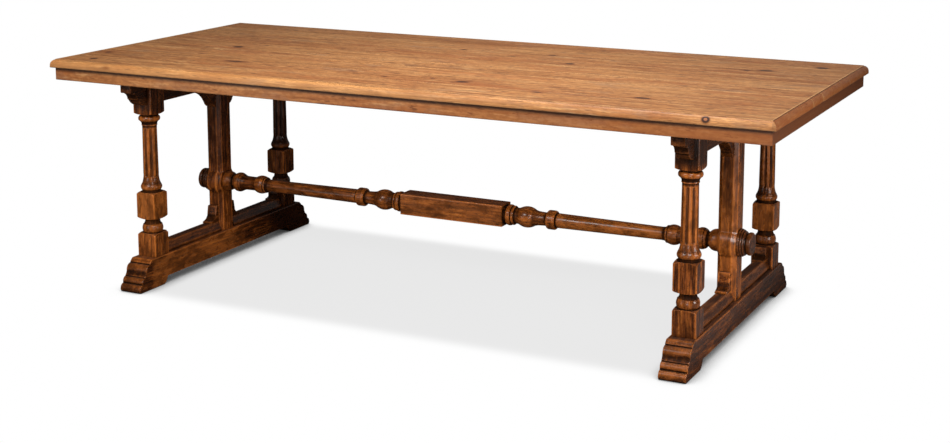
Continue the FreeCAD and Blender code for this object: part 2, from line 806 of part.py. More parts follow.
def write_parts():
    """Checks every object and writes each piece to a file of its own."""
    broken = [o.Label for o in doc.Objects if "Invalid" in o.State or "Error" in o.State]
    pieces = [o for o in doc.Objects if o.TypeId in ("PartDesign::Body", "Part::Feature")]
    broken += [o.Label for o in pieces if o.Shape.isNull() or not o.Shape.isValid()]
    if broken:
        raise RuntimeError(f"these pieces failed: {sorted(set(broken))}")
    os.makedirs("parts", exist_ok=True)
    for piece in pieces:
        piece.Shape.exportStep(f"parts/{piece.Label}.step")


build_table()
write_parts()
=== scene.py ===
import bmesh
import bpy
import numpy as np
from mathutils import Matrix


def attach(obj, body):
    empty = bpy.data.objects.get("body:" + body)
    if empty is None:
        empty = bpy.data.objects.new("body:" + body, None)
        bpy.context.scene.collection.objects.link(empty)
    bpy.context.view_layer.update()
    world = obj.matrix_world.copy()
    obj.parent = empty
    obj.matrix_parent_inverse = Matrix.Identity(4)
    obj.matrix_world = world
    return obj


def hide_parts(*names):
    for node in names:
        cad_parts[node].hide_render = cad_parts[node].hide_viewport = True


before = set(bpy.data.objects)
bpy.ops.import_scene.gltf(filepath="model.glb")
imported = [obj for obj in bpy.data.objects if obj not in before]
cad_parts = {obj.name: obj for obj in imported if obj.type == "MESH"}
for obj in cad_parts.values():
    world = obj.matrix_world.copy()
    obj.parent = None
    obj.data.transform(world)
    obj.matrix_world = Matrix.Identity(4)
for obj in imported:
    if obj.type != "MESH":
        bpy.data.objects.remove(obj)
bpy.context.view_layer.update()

# A refectory table: honey-coloured plank top and apron on two dark trestles with a turned stretcher.
# Lengths here are in millimetres and become metres in the meshes.
# Frame: +X along the length, +Y from front to back, +Z up, origin on the floor under the middle.

MM = 0.001

# Whole table
TOP_LENGTH, TOP_WIDTH, TABLE_HEIGHT = 2438.4, 1066.8, 762
TRESTLE_REACH, LEG_REACH, STRETCHER_HEIGHT = 938.5, 383, 276

# Top boards, their moulded rim and the apron
BOARD_THICKNESS = 28
NOSE_RUN, NOSE_QUIRK, NOSE_TIP, NOSE_UNDER, UNDER_RIM_TURN = 13, 1.6, 1.6, 1.6, 64
BOARD_WIDTH_SHARES = (0.133, 0.115, 0.110, 0.104, 0.111, 0.095, 0.095, 0.117, 0.120)
APRON_SETBACK, APRON_HEIGHT, APRON_THICKNESS = 12.8, 41, 22

# Feet, legs, posts and bearers
FOOT_HALF, FOOT_WIDTH, FOOT_HEIGHT = 510, 82, 100
TOE_RUN, PAD_LENGTH, ARCH_HEIGHT, ARCH_SLANT = 65, 134, 25, 13
LEG_BLANK, PLINTH_HEIGHT, LOWER_TURNING = 72, 78.5, 47
MIDDLE_BLOCK, UPPER_TURNING, SHOULDER_DROP, SHOULDER_TURN = 91, 262, 14, 48
FLUTES, FLUTE_RADIUS, FLUTE_AXIS, FLUTE_LOW, FLUTE_HIGH = 8, 6.5, 28.1, 49, 216
POST_THICKNESS, POST_DEPTH, POST_CHAMFER, BOSS_RADIUS, BOSS_FILLET = 60, 78, 13, 55, 8
BEARER_WIDTH, BEARER_HEIGHT, CORBEL_RUN, CORBEL_DROP = 41, 120, 79, 50

# Rails, knees and brackets
RAIL_WIDTH, RAIL_HEIGHT, RAIL_SIDE, RAIL_CROWN = 52, 34, 8, 32
BLOCK_WIDTH, KNEE_RUN, POST_KNEE_HEIGHT, LEG_KNEE_HEIGHT = 37, 46, 58, 40
BRACKET_RUN, BRACKET_HEIGHT = 84, 69

# Stretcher and finials
STRETCHER_BLOCK, BLOCK_LENGTH, VASE_RUN = 70, 372, 188.5
ROD_THICK, ROD_THIN, CUP_RUN, CUP_RADIUS, TENON_RADIUS = 23.8, 20.6, 186.5, 34.5, 20
FINIAL_RUN, FINIAL_RADIUS, TENON_IN_FINIAL = 41, 43.5, 11.8

HALF_LENGTH, HALF_WIDTH = TOP_LENGTH / 2, TOP_WIDTH / 2
UNDERSIDE = TABLE_HEIGHT - BOARD_THICKNESS
BEARER_LEVEL = UNDERSIDE - BEARER_HEIGHT
POST_FACE = POST_DEPTH / 2
LEG_FACE_IN = LEG_REACH - LEG_BLANK / 2
LEG_FACE_OUT = LEG_REACH + LEG_BLANK / 2
RAIL_TOP = FOOT_HEIGHT + RAIL_HEIGHT
TRESTLES = {"left": -1, "right": 1}
SIDES = {"front": -1, "back": 1}

# Points on an edge, its easing, a station's length and turn, relief of full wear, merging of rims
ARC_STEPS, TINY_TURN, STEP_LIMIT = 40, 1e-4, 40
EDGE_STEP, EDGE_EASE, WIDE_EASE = 0.4, 0.7, 4.5
STATION_LENGTH, STATION_TURN = 9, 8
FULL_WEAR, FULL_CREVICE = 0.7, 0.6
MERGE_REACH, SLIVER, SHARP_ANGLE = 2e-6, 1e-7, 38

# Stations along each piece and angles round it; a cut is an edge's stations and easing
LEG_STATIONS, LEG_ANGLES, LEG_POWER, LEG_CLEAR = 300, 144, 34, 1.7
FOOT_CUT, POST_CUT, BEARER_CUT = (260, 0.8), (170, 0.5), (200, 0.8)
BLOCK_CUT, RAIL_CUT, APRON_CUT = (90, 0.6), (90, 0.8), (110, 0.9)
FOOT_ARRIS, BEARER_ARRIS, BLOCK_ARRIS, RAIL_STEPS, APRON_STEPS = 2.4, 2, 1.8, 40, 160
STRETCHER_STATIONS, STRETCHER_ANGLES, STRETCHER_POWER, STRETCHER_CLEAR = 860, 72, 26, 0.8
FINIAL_STATIONS, FINIAL_ANGLES, FINE_EASE = 170, 128, 0.4
BOARD_STATIONS, BOARD_ROWS, BOARD_INSET, ROW_INSET = 430, 27, 24, 3

# Wear and painted crevice shade: shares of full wear or shade, and the distances over which they fade
LATHE_WEAR, CORNER_FROM, CORNER_RAMP = 0.45, 1.31, 0.06
SQUARE_BLUR, SQUARE_CREASE, SQUARE_WORN = 0.8, 1.2, 1.8
FLUTE_BLUR, FLUTE_CREASE, FLUTE_WEAR, FLUTE_SHADE, FLUTE_DEPTH = 0.4, 0.5, 0.65, 0.6, 3.2
FLUTE_CROWD, FLUTE_CROWD_REACH, FLUTE_CROWD_INSET, NO_FLUTE = 0.35, 5, 3, 60
ROUND_WORN, ROUND_WORN_PLACE, CHAMFER_WORN, CHAMFER_INNER_WORN, BAND_WORN = 1.7, 0.4, 2, 1.5, 1.6
MOULDED_WEAR, CREVICE_REACH, LEDGE_SHADE, LEDGE_INSET = 0.8, 2.5, 0.15, 4
RAIL_SHADE, RAIL_SHADE_TOP, RAIL_SHADE_FADE = 0.8, 6, 5
TOP_SHADE_FROM, TOP_SHADE_FADE, LOW_SHADE, LOW_SHADE_TOP, LOW_SHADE_FADE = 15, 8, 0.6, 3, 2

# Boards on edge and upright: their length, height and thickness in the table's frame
EDGEWISE = ((0, 1, 0), (0, 0, 1), (1, 0, 0))
UPRIGHT = ((0, 0, 1), (0, 1, 0), (1, 0, 0))

# Moulded edges as rows: two thousandths of the edge's sizes, and the degrees of any turn to the next row
TOE = (
    (60, 0, 60), (0, 60), (0, 130, 88), (215, 265), (200, 305, 78), (370, 470), (400, 470),
    (400, 500, -50), (520, 660, 80), (770, 860), (820, 860), (820, 900), (1000, 1000),
)
LOWER_TURNED = (
    (960, 700), (880, 690, 52), (580, 850), (580, 880), (530, 880, -57), (50, 870), (40, 830),
)
UPPER_TURNED = (
    (992, 800), (985, 800, -106), (920, 930, 58), (872, 700), (868, 720), (856, 720), (852, 665),
    (235, 710, 28), (104, 860), (104, 890), (96, 890, -83), (30, 880), (24, 860),
)
CORBEL = (
    (0, 0, 66), (530, 440), (580, 460, -62), (800, 920), (800, 1000), (1000, 1000),
)
KNEE = (
    (1000, 0), (1000, 110), (930, 130, -64), (410, 420), (280, 1000), (0, 1000),
)
BRACKET = (
    (0, 0, 64), (260, 290), (290, 290), (290, 320, -44), (930, 880), (1000, 880), (1000, 1000),
)
VASE = (
    (987, 669), (977, 640), (958, 640), (955, 789, 60), (927, 889), (828, 889, 60), (800, 789),
    (797, 646), (777, 617, -4), (637, 651, -16), (554, 760, 63), (289, 811, -22), (228, 740),
    (210, 726), (194, 749), (191, 840, 82), (152, 874), (147, 840), (139, 846), (135, 909, 66),
    (61, 931), (57, 840), (21, 800), (0, 800),
)
CUP = (
    (0, 974, 16), (70, 997, 32), (145, 849), (148, 809), (160, 788, -46), (190, 664), (205, 664),
    (212, 719), (216, 774, 18), (250, 910), (254, 881), (261, 904), (265, 948, 37), (349, 948),
    (352, 907), (359, 896), (362, 910, 18), (399, 806, -24), (493, 699), (636, 687, -20),
    (711, 788), (714, 817, 51), (875, 829), (879, 771), (888, 765), (891, 800, 62), (917, 765),
    (921, 690), (938, 661), (952, 620),
)
FINIAL = (
    (0, 975, -66), (195, 979), (215, 933), (239, 929), (254, 952, -56), (361, 901), (376, 855),
    (400, 851), (415, 869, -56), (517, 818), (532, 777), (585, 745), (600, 685), (659, 685),
    (673, 749, -62), (829, 811), (917, 805, -74), (1000, 713), (1000, 30),
)

# Knots in the top: place along and across, half length, half width and depth
KNOTS = np.array((
    (1026, -542, 10, 11, 1.4), (1064, -523, 34, 5, 0.42), (958, 274, 26, 10, 0.9),
    (901, 253, 20, 8, 0.6), (1101, 403, 22, 10, 0.9), (783, -359, 30, 7, 0.8),
    (1077, -343, 20, 7, 0.35), (476, -404, 24, 8, 0.6), (200, -336, 34, 13, 0.62),
    (350, 131, 16, 8, 0.9), (227, 276, 26, 9, 0.62), (-101, 264, 16, 8, 0.6),
    (-1098, -458, 15, 9, 0.8), (-828, -27, 20, 11, 0.95), (-849, -207, 18, 8, 0.5),
    (-834, -336, 14, 7, 0.5), (-645, -304, 60, 12, 0.6), (-1148, -324, 16, 8, 0.7),
    (-988, -545, 18, 9, 0.4), (-420, -322, 20, 7, 0.5), (-200, -300, 26, 7, 0.55),
    (-60, -352, 18, 6, 0.6), (90, -318, 14, 6, 0.62), (-330, 40, 16, 6, 0.4),
), float)
# Knots before this line lie on the nosing; the others are wider by the stretch
NOSING_LINE, KNOT_STRETCH, KNOT_FALL = -515, 1.6, 0.9
BEND_SHARE, BEND_FALL_ALONG, BEND_FALL_ACROSS = 0.55, 0.16, 0.35

# Boards: their tones, how pale each seam is, the seams' gap, easing and rows, the rim's painted shade
# and highlight, the front nosing's painted light and the ends' tone
BOARD_TONES = (0.04, -0.06, 0.14, 0.0, 0.14, -0.12, 0.05, 0.22, -0.16)
PALE_SEAMS = (0.25, 0.15, 0.9, 1.0, 0.2, 0.35, 0.5, 0.1)
SEAM_GAP, SEAM_DEPTH, SEAM_REACH, SEAM_CLEAR = 0.12, 0.7, 1.2, 6
SEAM_STEPS = np.array([0, 0.35, 0.8, 1.3, 2.6])
PALE_REACH, PALE_FROM, PALE_RUN, PALE_LEAST, DARK_REACH = 2.2, -500, 900, 0.2, 1.4
SEAM_SHADE, QUIRK_REACH, QUIRK_SHADE, ARRIS_HIGHLIGHT_REACH, FAR = 0.8, 1.3, 0.35, 1.5, 1e3
LIP_SHADE, LIP_TOP, LIP_FADE, END_SHADE, END_SHADE_INSET = 0.45, 6, 4, 0.3, 1
RIM_STEP, QUIRK_WALL, QUIRK_EASE, QUIRK_REST = 0.1, 0.15, 0.35, 0.8
QUIRK_PLACE, ARRIS_HIGHLIGHT_PLACE, UNDER_SHADE_FROM, UNDER_SHADE_FADE, WALL_ROWS = 0.4, 1.8, 4, 3, 4
END_ALONG, END_ACROSS, END_OFFSET = 14, 0.3, 900
NOSING_PAINTED_LIGHT, END_TONE = ((-1200, 100, 1200), (0.55, 0.48, -0.05)), -0.8
THUMB = (
    (NOSE_RUN, BOARD_THICKNESS - NOSE_QUIRK, 46), (3.4, 19.5, 28), (0.25, 9.0, 0), (0, NOSE_TIP, 0),
)


# Edges and their easing

def backwards(rows):
    """The edge walked the other way: rows reversed, turns negated and moved to their new starts."""
    turns = [-row[2] for row in rows[:-1]][::-1] + [0]
    return [(row[0], row[1], turn) for row, turn in zip(rows[::-1], turns)]


def mirrored(rows):
    """The other half of an edge: walked the other way, with its first length negated."""
    return [(-a, b, -turn) for a, b, turn in backwards(rows)]


def scaled(rows, first_start, first_size, second_start, second_size):
    """Rows with both thousandths turned into lengths: start plus share times size."""
    return [
        (first_start + a / 1000 * first_size, second_start + b / 1000 * second_size, *(turn or (0,)))
        for a, b, *turn in rows]


def swapped(rows):
    """Rows with their two lengths exchanged, which mirrors the edge and so negates its turns."""
    return [(b, a, -turn) for a, b, turn in rows]


def even_points(rows, step):
    """Points evenly along an edge of straight and round runs, as complex numbers. A run is its chord
    times (e^(iat) - 1) / (e^(ia) - 1), which turns by the angle a as t goes from 0 to 1."""
    table = np.array(rows, float)
    corner = table[:, 0] + 1j * table[:, 1]
    turn = 1j * np.radians(np.where(table[:-1, 2] == 0, TINY_TURN, table[:-1, 2]))
    share = np.expm1(np.outer(turn, np.arange(ARC_STEPS) / ARC_STEPS)) / np.expm1(turn)[:, None]
    fine = np.append((corner[:-1, None] + np.diff(corner)[:, None] * share).ravel(), corner[-1])
    length = np.append(0, np.cumsum(np.abs(np.diff(fine))))
    even = np.linspace(0, length[-1], int(length[-1] / step) + 2)
    return np.interp(even, length, fine.real) + 1j * np.interp(even, length, fine.imag)


def eased(points, step, spread):
    """An edge with its corners eased: the running mean with a bell-shaped weight, its two ends kept."""
    reach = int(3 * spread / step) + 1
    weight = np.exp(-0.5 * (np.arange(-reach, reach + 1) * step / spread) ** 2)
    before = 2 * points[0] - points[reach:0:-1]
    after = 2 * points[-1] - points[-2:-reach - 2:-1]
    return np.convolve(np.concatenate([before, points, after]), weight / weight.sum(), "valid")


def unit(value):
    """A value kept between 0 and 1."""
    return np.clip(value, 0, 1)


def bell(distance, reach):
    """A bell-shaped weight, e^-(distance / reach)^2: 1 at no distance, fading over the reach."""
    return np.exp(-(distance / reach) ** 2)


def soft_step(value):
    """A step from 0 to 1 where a value passes nought, rounded: 1 / (1 + e^-value)."""
    return 1 / (1 + np.exp(-np.clip(value, -STEP_LIMIT, STEP_LIMIT)))


def shaped_edge(rows, outward, count, ease=EDGE_EASE, extra=None):
    """An eased edge with stations crowded where it bends, and its wear and its painted crevice shade.
    Stations are equal steps of length / STATION_LENGTH plus bend / STATION_TURN (plus extra). The edge
    is worn where it stands proud of its own wider running mean, and painted in shade where it lies
    behind.
    Outward is +1 with the outside on the left of the walk, and -1 with it on the right."""
    points = eased(even_points(rows, EDGE_STEP), EDGE_STEP, ease)
    along = np.gradient(points)
    along /= np.abs(along)
    proud = np.real((points - eased(points, EDGE_STEP, WIDE_EASE)) * np.conj(along * 1j * outward))
    bend = np.abs(np.angle(np.roll(along, -1) * np.conj(along)))
    bend[-1] = 0
    crowd = EDGE_STEP / STATION_LENGTH + bend / np.radians(STATION_TURN)
    if extra is not None:
        crowd = crowd + extra(points)
    place = np.append(0, np.cumsum(crowd[:-1]))
    index = np.arange(len(points))
    pick = np.interp(np.linspace(0, place[-1], count), place, index)
    station = np.interp(pick, index, points.real) + 1j * np.interp(pick, index, points.imag)
    deep = unit(-proud / FULL_CREVICE)
    deep[2:-2] = np.maximum(deep[2:-2], np.maximum(deep[4:], deep[:-4]))
    return station, np.interp(pick, index, unit(proud / FULL_WEAR)), np.interp(pick, index, deep)


# Pieces from grids

def grid_faces(rows, columns, first, closed):
    """Quads between neighbouring rows and columns; closed joins the last column to the first one."""
    index = first + np.arange(rows * columns).reshape(rows, columns)
    if closed:
        index = np.hstack([index, index[:, :1]])
    corners = [index[:-1, :-1], index[:-1, 1:], index[1:, 1:], index[1:, :-1]]
    return np.stack(corners, -1).reshape(-1, 4)


def put(name, data):
    """A new object in the scene."""
    body = bpy.data.objects.new(name, data)
    bpy.context.scene.collection.objects.link(body)
    return body


def make_piece(node, sheets, slot, tone_and_light=0.0):
    """One closed piece from sheets: grids of points with their grain, some of the four fields, and
    whether their columns close. The rims that they share are merged, and faces turned outwards."""
    plain = {"wear_and_highlight": 0.0, "crevice_shade": 0.0, "knot": 0.0, "tone_and_light": tone_and_light}
    shapes = [sheet["at"].shape[:2] for sheet in sheets]
    firsts = np.append(0, np.cumsum([rows * columns for rows, columns in shapes]))

    def vectors(key, offset):
        joined = np.concatenate([sheet[key].reshape(-1, 3) for sheet in sheets]) + offset
        return (joined * MM).astype(np.float32).ravel()

    def values(key):
        pairs = zip(sheets, shapes)
        grids = [np.broadcast_to(sheet.get(key, plain[key]), shape).ravel() for sheet, shape in pairs]
        return np.concatenate(grids).astype(np.float32)

    faces = np.concatenate([
        grid_faces(*shape, first, sheet.get("closed", False))
        for shape, first, sheet in zip(shapes, firsts, sheets)])
    mesh = bpy.data.meshes.new(f"{node}_wood")
    mesh.vertices.add(int(firsts[-1]))
    mesh.vertices.foreach_set("co", vectors("at", 0))
    mesh.loops.add(faces.size)
    mesh.loops.foreach_set("vertex_index", faces.astype(np.int32).ravel())
    mesh.polygons.add(len(faces))
    mesh.polygons.foreach_set("loop_start", np.arange(0, faces.size, 4, dtype=np.int32))
    mesh.update(calc_edges=True)
    for name in plain:
        mesh.attributes.new(name, "FLOAT", "POINT").data.foreach_set("value", values(name))
    figure = mesh.attributes.new("grain", "FLOAT_VECTOR", "POINT")
    figure.data.foreach_set("vector", vectors("grain", grain_seed(node)))
    shell = bmesh.new()
    shell.from_mesh(mesh)
    bmesh.ops.remove_doubles(shell, verts=shell.verts, dist=MERGE_REACH)
    bmesh.ops.dissolve_degenerate(shell, edges=shell.edges, dist=SLIVER)
    bmesh.ops.recalc_face_normals(shell, faces=shell.faces)
    shell.to_mesh(mesh)
    shell.free()
    mesh.polygons.foreach_set("use_smooth", np.ones(len(mesh.polygons), bool))
    mesh.set_sharp_from_angle(angle=np.radians(SHARP_ANGLE))
    mesh.materials.append(FINISHES[slot])
    piece = put(f"{node}_wood", mesh)
    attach(piece, "root")
    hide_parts(node)


def level(value):
    """The same value at every place along a piece."""
    return (0, 1), (value, value)


# Tone and painted light of the pieces: places along a piece and the value at each, darker below zero
# and paler above. Most of it is painted shade under the top, towards the back and on faces turned from
# the lamps, and painted light where they fall, with a little of the pieces' own tone
TONES_AND_LIGHT = {
    "left_front_leg": ((0, 110, 130, 215, 240, 460, 500), (0.25, 0.25, 0.75, 0.75, 0.3, 0.2, -0.6)),
    "left_back_leg": ((0, 100, 130, 210, 240, 500), (-0.9, -0.9, 0.1, 0.2, -0.9, -1.0)),
    "right_front_leg": (
        (0, 70, 100, 200, 260, 440, 480, 500), (-0.35, -0.35, 0.0, 0.0, 0.2, 0.1, -0.1, -1.0)),
    "right_back_leg": ((0, 100, 130, 210, 240, 500), (-0.4, -0.4, 0.4, 0.55, -0.15, -0.25)),
    "left_foot": ((-510, -460, -430, 0, 300), (-0.7, -0.4, 0.6, 0.45, -1.0)),
    "right_foot": ((-510, -460, -430, 0, 300), (-0.45, -0.4, -0.35, -0.45, -0.8)),
    "left_post": ((0, 250, 400, 500), (0.1, -0.1, -0.2, -0.8)),
    "right_post": ((0, 250, 400, 500), (0.2, 0.4, 0.25, -0.7)),
    "stretcher": (
        (-735, -725, -200, -190, 190, 200, 370, 390, 720, 730),
        (-0.15, 0.25, 0.2, 0.4, 0.4, 0.25, 0.25, 0.8, 0.8, 0.1)),
    "front_apron": ((-1200, 200, 1200), (-0.35, -0.35, -0.8)),
}
# Painted shade laid evenly along pieces that sit under the top, at the back, or turned from the lamps
SHADE_LEVELS = {
    -0.5: "left_front_post_knee back_apron", -0.6: "left_front_rail left_apron",
    -0.65: "right_front_rail right_back_rail right_back_leg_knee",
    -0.7: "left_front_bracket right_front_bracket left_back_bracket right_back_bracket right_finial",
    -0.8: "left_back_post_knee", -0.85: "left_back_rail",
    -0.9: "left_bearer right_bearer left_finial left_back_leg_knee", -1.0: "right_apron",
}
TONES_AND_LIGHT.update({node: level(tone_and_light) for tone_and_light, nodes in SHADE_LEVELS.items() for node in nodes.split()})

# Shade along a carried piece, beside that of its section
GLOOM = {"front_apron": ((100, 1200), (0.0, 0.18)), "right_apron": level(0.8)}

# Steps and room of the figure's offset, by which no two pieces show the same figure
SEED_STEPS, SEED_ROOM = np.array([137.0, 71.0, 29.0]), np.array([9000, 4100, 3300])


def tone_and_light_along(node, along):
    """The piece's tone and painted light and shade at places along it, straight between the set places.
    """
    return np.interp(along, *TONES_AND_LIGHT.get(node, level(0)))


def grain_seed(node):
    """An offset of the figure that is the piece's own, from the letters of its name."""
    total = sum((number + 1) * ord(letter) for number, letter in enumerate(node))
    return total * SEED_STEPS % SEED_ROOM


def soft_min(first, second, softness):
    """The lesser of two surfaces with the crease between them rounded: half of their sum less the root
    of their difference squared plus the softness squared."""
    return 0.5 * (first + second - np.sqrt((first - second) ** 2 + softness ** 2))


ARRIS_ANGLES = np.radians([-4.5, -3, -2, -1.2, -0.5, 0.5, 1.2, 2, 3, 4.5])


def ring_angles(count, corners):
    """Angles round a piece, even, with more of them by the four arrises of a square."""
    even = np.arange(count) * 2 * np.pi / count
    if not corners:
        return even
    arris = np.pi / 4 + np.arange(4)[:, None] * np.pi / 2 + ARRIS_ANGLES
    return np.unique(np.round(np.concatenate([even, arris.ravel()]), 6))


def turned_sheet(edge, wear_and_highlight, crevice_shade, angles, square=None, power=LEG_POWER, flutes=None):
    """Radius, wear and painted crevice shade of a turned form over station and angle. The lathe's radius
    is cut to the blank's square, h / (|cos|^p + |sin|^p)^(1/p), by a soft minimum. A flute takes the
    surface in to where a ray from the axis meets a long round-ended cutter."""
    radius = np.broadcast_to(edge.real[:, None], (len(edge), len(angles))).copy()
    worn = np.broadcast_to(LATHE_WEAR * wear_and_highlight[:, None], radius.shape)
    deep = np.broadcast_to(crevice_shade[:, None], radius.shape)
    if square:
        powers = np.abs(np.cos(angles)) ** power + np.abs(np.sin(angles)) ** power
        blank = np.broadcast_to(square / powers ** (1 / power), radius.shape)
        gap = radius - blank
        corner = unit((blank / square - CORNER_FROM) / CORNER_RAMP)
        on_square = soft_step(gap / SQUARE_BLUR)
        worn = worn * (1 - on_square) + corner * on_square
        worn = np.maximum(worn, bell(gap, SQUARE_WORN))
        deep = deep * (1 - on_square)
        radius = soft_min(radius, blank, SQUARE_CREASE)
    if flutes:
        low, high = flutes
        pitch = 2 * np.pi / FLUTES
        swing = (angles + pitch / 2) % pitch - pitch / 2
        past = np.maximum(low + FLUTE_RADIUS - edge.imag, edge.imag - high + FLUTE_RADIUS)
        reach = np.sqrt(np.maximum(FLUTE_RADIUS ** 2 - np.maximum(past, 0) ** 2, 0))
        room = reach[:, None] ** 2 - (FLUTE_AXIS * np.sin(swing)) ** 2
        inner = FLUTE_AXIS * np.cos(swing) - np.sqrt(np.maximum(room, 0))
        inner = np.where(room > 0, inner, NO_FLUTE)
        arris = np.where(reach[:, None] > 0, soft_step((inner - radius) / FLUTE_BLUR), 0)
        worn = np.maximum(worn, FLUTE_WEAR * arris)
        deep = np.maximum(deep, FLUTE_SHADE * unit((radius - inner) / FLUTE_DEPTH))
        radius = soft_min(radius, inner, FLUTE_CREASE)
    return radius, worn, deep


def with_poles(values, fill=None):
    """A grid with one more row at each end: the end rows again, or a fill value for the poles."""
    ends = [values[:1], values[-1:]] if fill is None else [np.full_like(values[:1], fill)] * 2
    return np.concatenate([ends[0], values, ends[1]])


def turned_piece(node, rows, outward, count, angles, centre, axis, ease=EDGE_EASE, extra=None, **cuts):
    """A piece turned about an upright or lengthwise axis, closed by a pole at each end. Across the axis
    a point is its radius times the cosine and the sine of its angle."""
    edge, wear_and_highlight, crevice_shade = shaped_edge(rows, outward, count, ease, extra)
    radius, worn, deep = turned_sheet(edge, wear_and_highlight, crevice_shade, angles, **cuts)
    radius = with_poles(radius, 0.0)
    along = with_poles(np.broadcast_to(edge.imag[:, None], worn.shape))
    across = radius * np.cos(angles)
    depth = radius * np.sin(angles)
    order = {"z": (across, depth, along), "x": (along, across, depth)}[axis]
    sheet = {
        "at": np.stack(order, -1) + np.array(centre), "closed": True, "tone_and_light": tone_and_light_along(node, along),
        "grain": np.stack([along, across, depth], -1),
        "wear_and_highlight": with_poles(worn), "crevice_shade": with_poles(deep),
    }
    make_piece(node, [sheet], "base_wood")


# Insets of a side face's rows from its two edges, and shares of the thickness for a band's rows
INSETS = np.array([0, 0.25, 0.7, 1.4, 2.4, 4.0, 7.0, 10.0, 12.6, 13.2, 15.0, 19.0])
BAND = np.array([-1, -0.985, -0.95, -0.9, -0.7, -0.35, 0, 0.35, 0.7, 0.9, 0.95, 0.985, 1])


def shaped_board(node, edge, wear_and_highlight, crevice_shade, other, half, arris, axes, origin, chamfered=False):
    """A board cut to an outline. Each side face is ruled between the shaped edge and the other edge,
    with rows at set insets. At a distance d from the outline it falls back by the arris a:
    a - sqrt(a^2 - (a - d)^2) for a round one, a - d for a chamfer. A band joins the faces' rims."""
    span = np.abs(other - edge)
    limit = 0.5 * np.arange(len(INSETS)) / len(INSETS)
    near = np.minimum(INSETS / np.maximum(span, 1e-6)[:, None], limit)
    share = np.concatenate([near, np.full((len(edge), 1), 0.5), 1 - near[:, ::-1]], 1)
    face = edge[:, None] + (other - edge)[:, None] * share
    outline = np.concatenate([edge, other])
    away = np.abs(face.ravel()[:, None] - outline[None, :]).min(1).reshape(face.shape)
    away = np.minimum(away, np.minimum(share, 1 - share) * span[:, None])
    short = np.clip(arris - away, 0, arris)
    if chamfered:
        back = short
        face_wear = np.maximum(bell(away, CHAMFER_WORN), bell(away - arris, CHAMFER_INNER_WORN))
    else:
        back = arris - np.sqrt(np.maximum(arris ** 2 - short ** 2, 0))
        face_wear = bell(away - ROUND_WORN_PLACE * arris, ROUND_WORN)
    face_crevice_shade = crevice_shade[:, None] * np.exp(-share * span[:, None] / CREVICE_REACH)

    def sheet(flat, thick, wear_and_highlight, crevice_shade, closed):
        lengths = (flat.real, flat.imag, thick)
        at = np.array(origin) + sum(v[..., None] * np.array(a, float) for v, a in zip(lengths, axes))
        return {"at": at, "grain": np.stack(lengths, -1), "wear_and_highlight": wear_and_highlight, "crevice_shade": crevice_shade,
                "tone_and_light": tone_and_light_along(node, flat.real), "closed": closed}

    def around(grid):
        return np.concatenate([grid[:, 0], grid[-1, 1:-1], grid[::-1, -1], grid[0, -2:0:-1]])

    deep = half - around(back)
    thick = BAND[:, None] * deep
    band = np.broadcast_to(around(face), thick.shape)
    plain = np.zeros(len(deep) - len(edge))
    band_wear = np.maximum(MOULDED_WEAR * np.append(wear_and_highlight, plain), bell(deep - np.abs(thick), BAND_WORN))
    sheets = [sheet(face, side, face_wear, face_crevice_shade, False) for side in (back - half, half - back)]
    sheets.append(sheet(band, thick, band_wear, np.append(crevice_shade, plain), True))
    make_piece(node, sheets, "base_wood")


# Pieces of the trestles

def build_leg(side, place, sign, way):
    """A turned leg, from the foot up: square, turning, square, fluted turning, square."""
    half = LEG_BLANK / 2
    clear = half * LEG_CLEAR
    shaft = PLINTH_HEIGHT + LOWER_TURNING + MIDDLE_BLOCK
    turnings = ((LOWER_TURNED, PLINTH_HEIGHT, LOWER_TURNING), (UPPER_TURNED, shaft, UPPER_TURNING))
    rows = [(clear, 0, 0)]
    for shares, base, height in turnings:
        turning = scaled([(r, u, *t) for u, r, *t in shares], 0, half, base, height)
        rows.append((clear, base - SHOULDER_DROP, SHOULDER_TURN))
        rows.append((turning[-1][0], base, 0))
        rows += backwards(turning)
        rows.append((turning[0][0], base + height, SHOULDER_TURN))
        rows.append((clear, base + height + SHOULDER_DROP, 0))
    rows.append((clear, UNDERSIDE - FOOT_HEIGHT, 0))
    low, high = shaft + FLUTE_LOW, shaft + FLUTE_HIGH
    ends = (low + FLUTE_CROWD_INSET, high - FLUTE_CROWD_INSET)

    def crowd_flute_ends(points):
        return sum(FLUTE_CROWD * bell(points.imag - end, FLUTE_CROWD_REACH) for end in ends)

    turned_piece(
        f"{side}_{place}_leg", rows, -1, LEG_STATIONS, ring_angles(LEG_ANGLES, True),
        (sign * TRESTLE_REACH, way * LEG_REACH, FOOT_HEIGHT), "z", extra=crowd_flute_ends,
        square=half, flutes=(low, high))


def build_foot(side, sign):
    """A sled foot: the upper edge with its moulded toes against the lower edge with pads and arch."""
    toe = scaled(TOE, FOOT_HALF, -TOE_RUN, 0, FOOT_HEIGHT)
    edge, wear_and_highlight, crevice_shade = shaped_edge(toe[1:] + mirrored(toe[1:]), -1, *FOOT_CUT)
    ledge = unit(FOOT_HALF - TOE_RUN - LEDGE_INSET - np.abs(edge.real))
    crevice_shade = np.maximum(crevice_shade, LEDGE_SHADE * ledge)
    pad_end = FOOT_HALF - PAD_LENGTH
    half = backwards(toe[:2]) + [(pad_end, 0, 0), (pad_end - ARCH_SLANT, ARCH_HEIGHT, 0)]
    under = eased(even_points(half + mirrored(half), EDGE_STEP), EDGE_STEP, FOOT_CUT[1])[::-1]
    other = edge.real + 1j * np.interp(edge.real, under.real, under.imag)
    other[0], other[-1] = edge[0], edge[-1]
    shaped_board(f"{side}_foot", edge, wear_and_highlight, crevice_shade, other, FOOT_WIDTH / 2, FOOT_ARRIS, EDGEWISE,
                 (sign * TRESTLE_REACH, 0, 0))


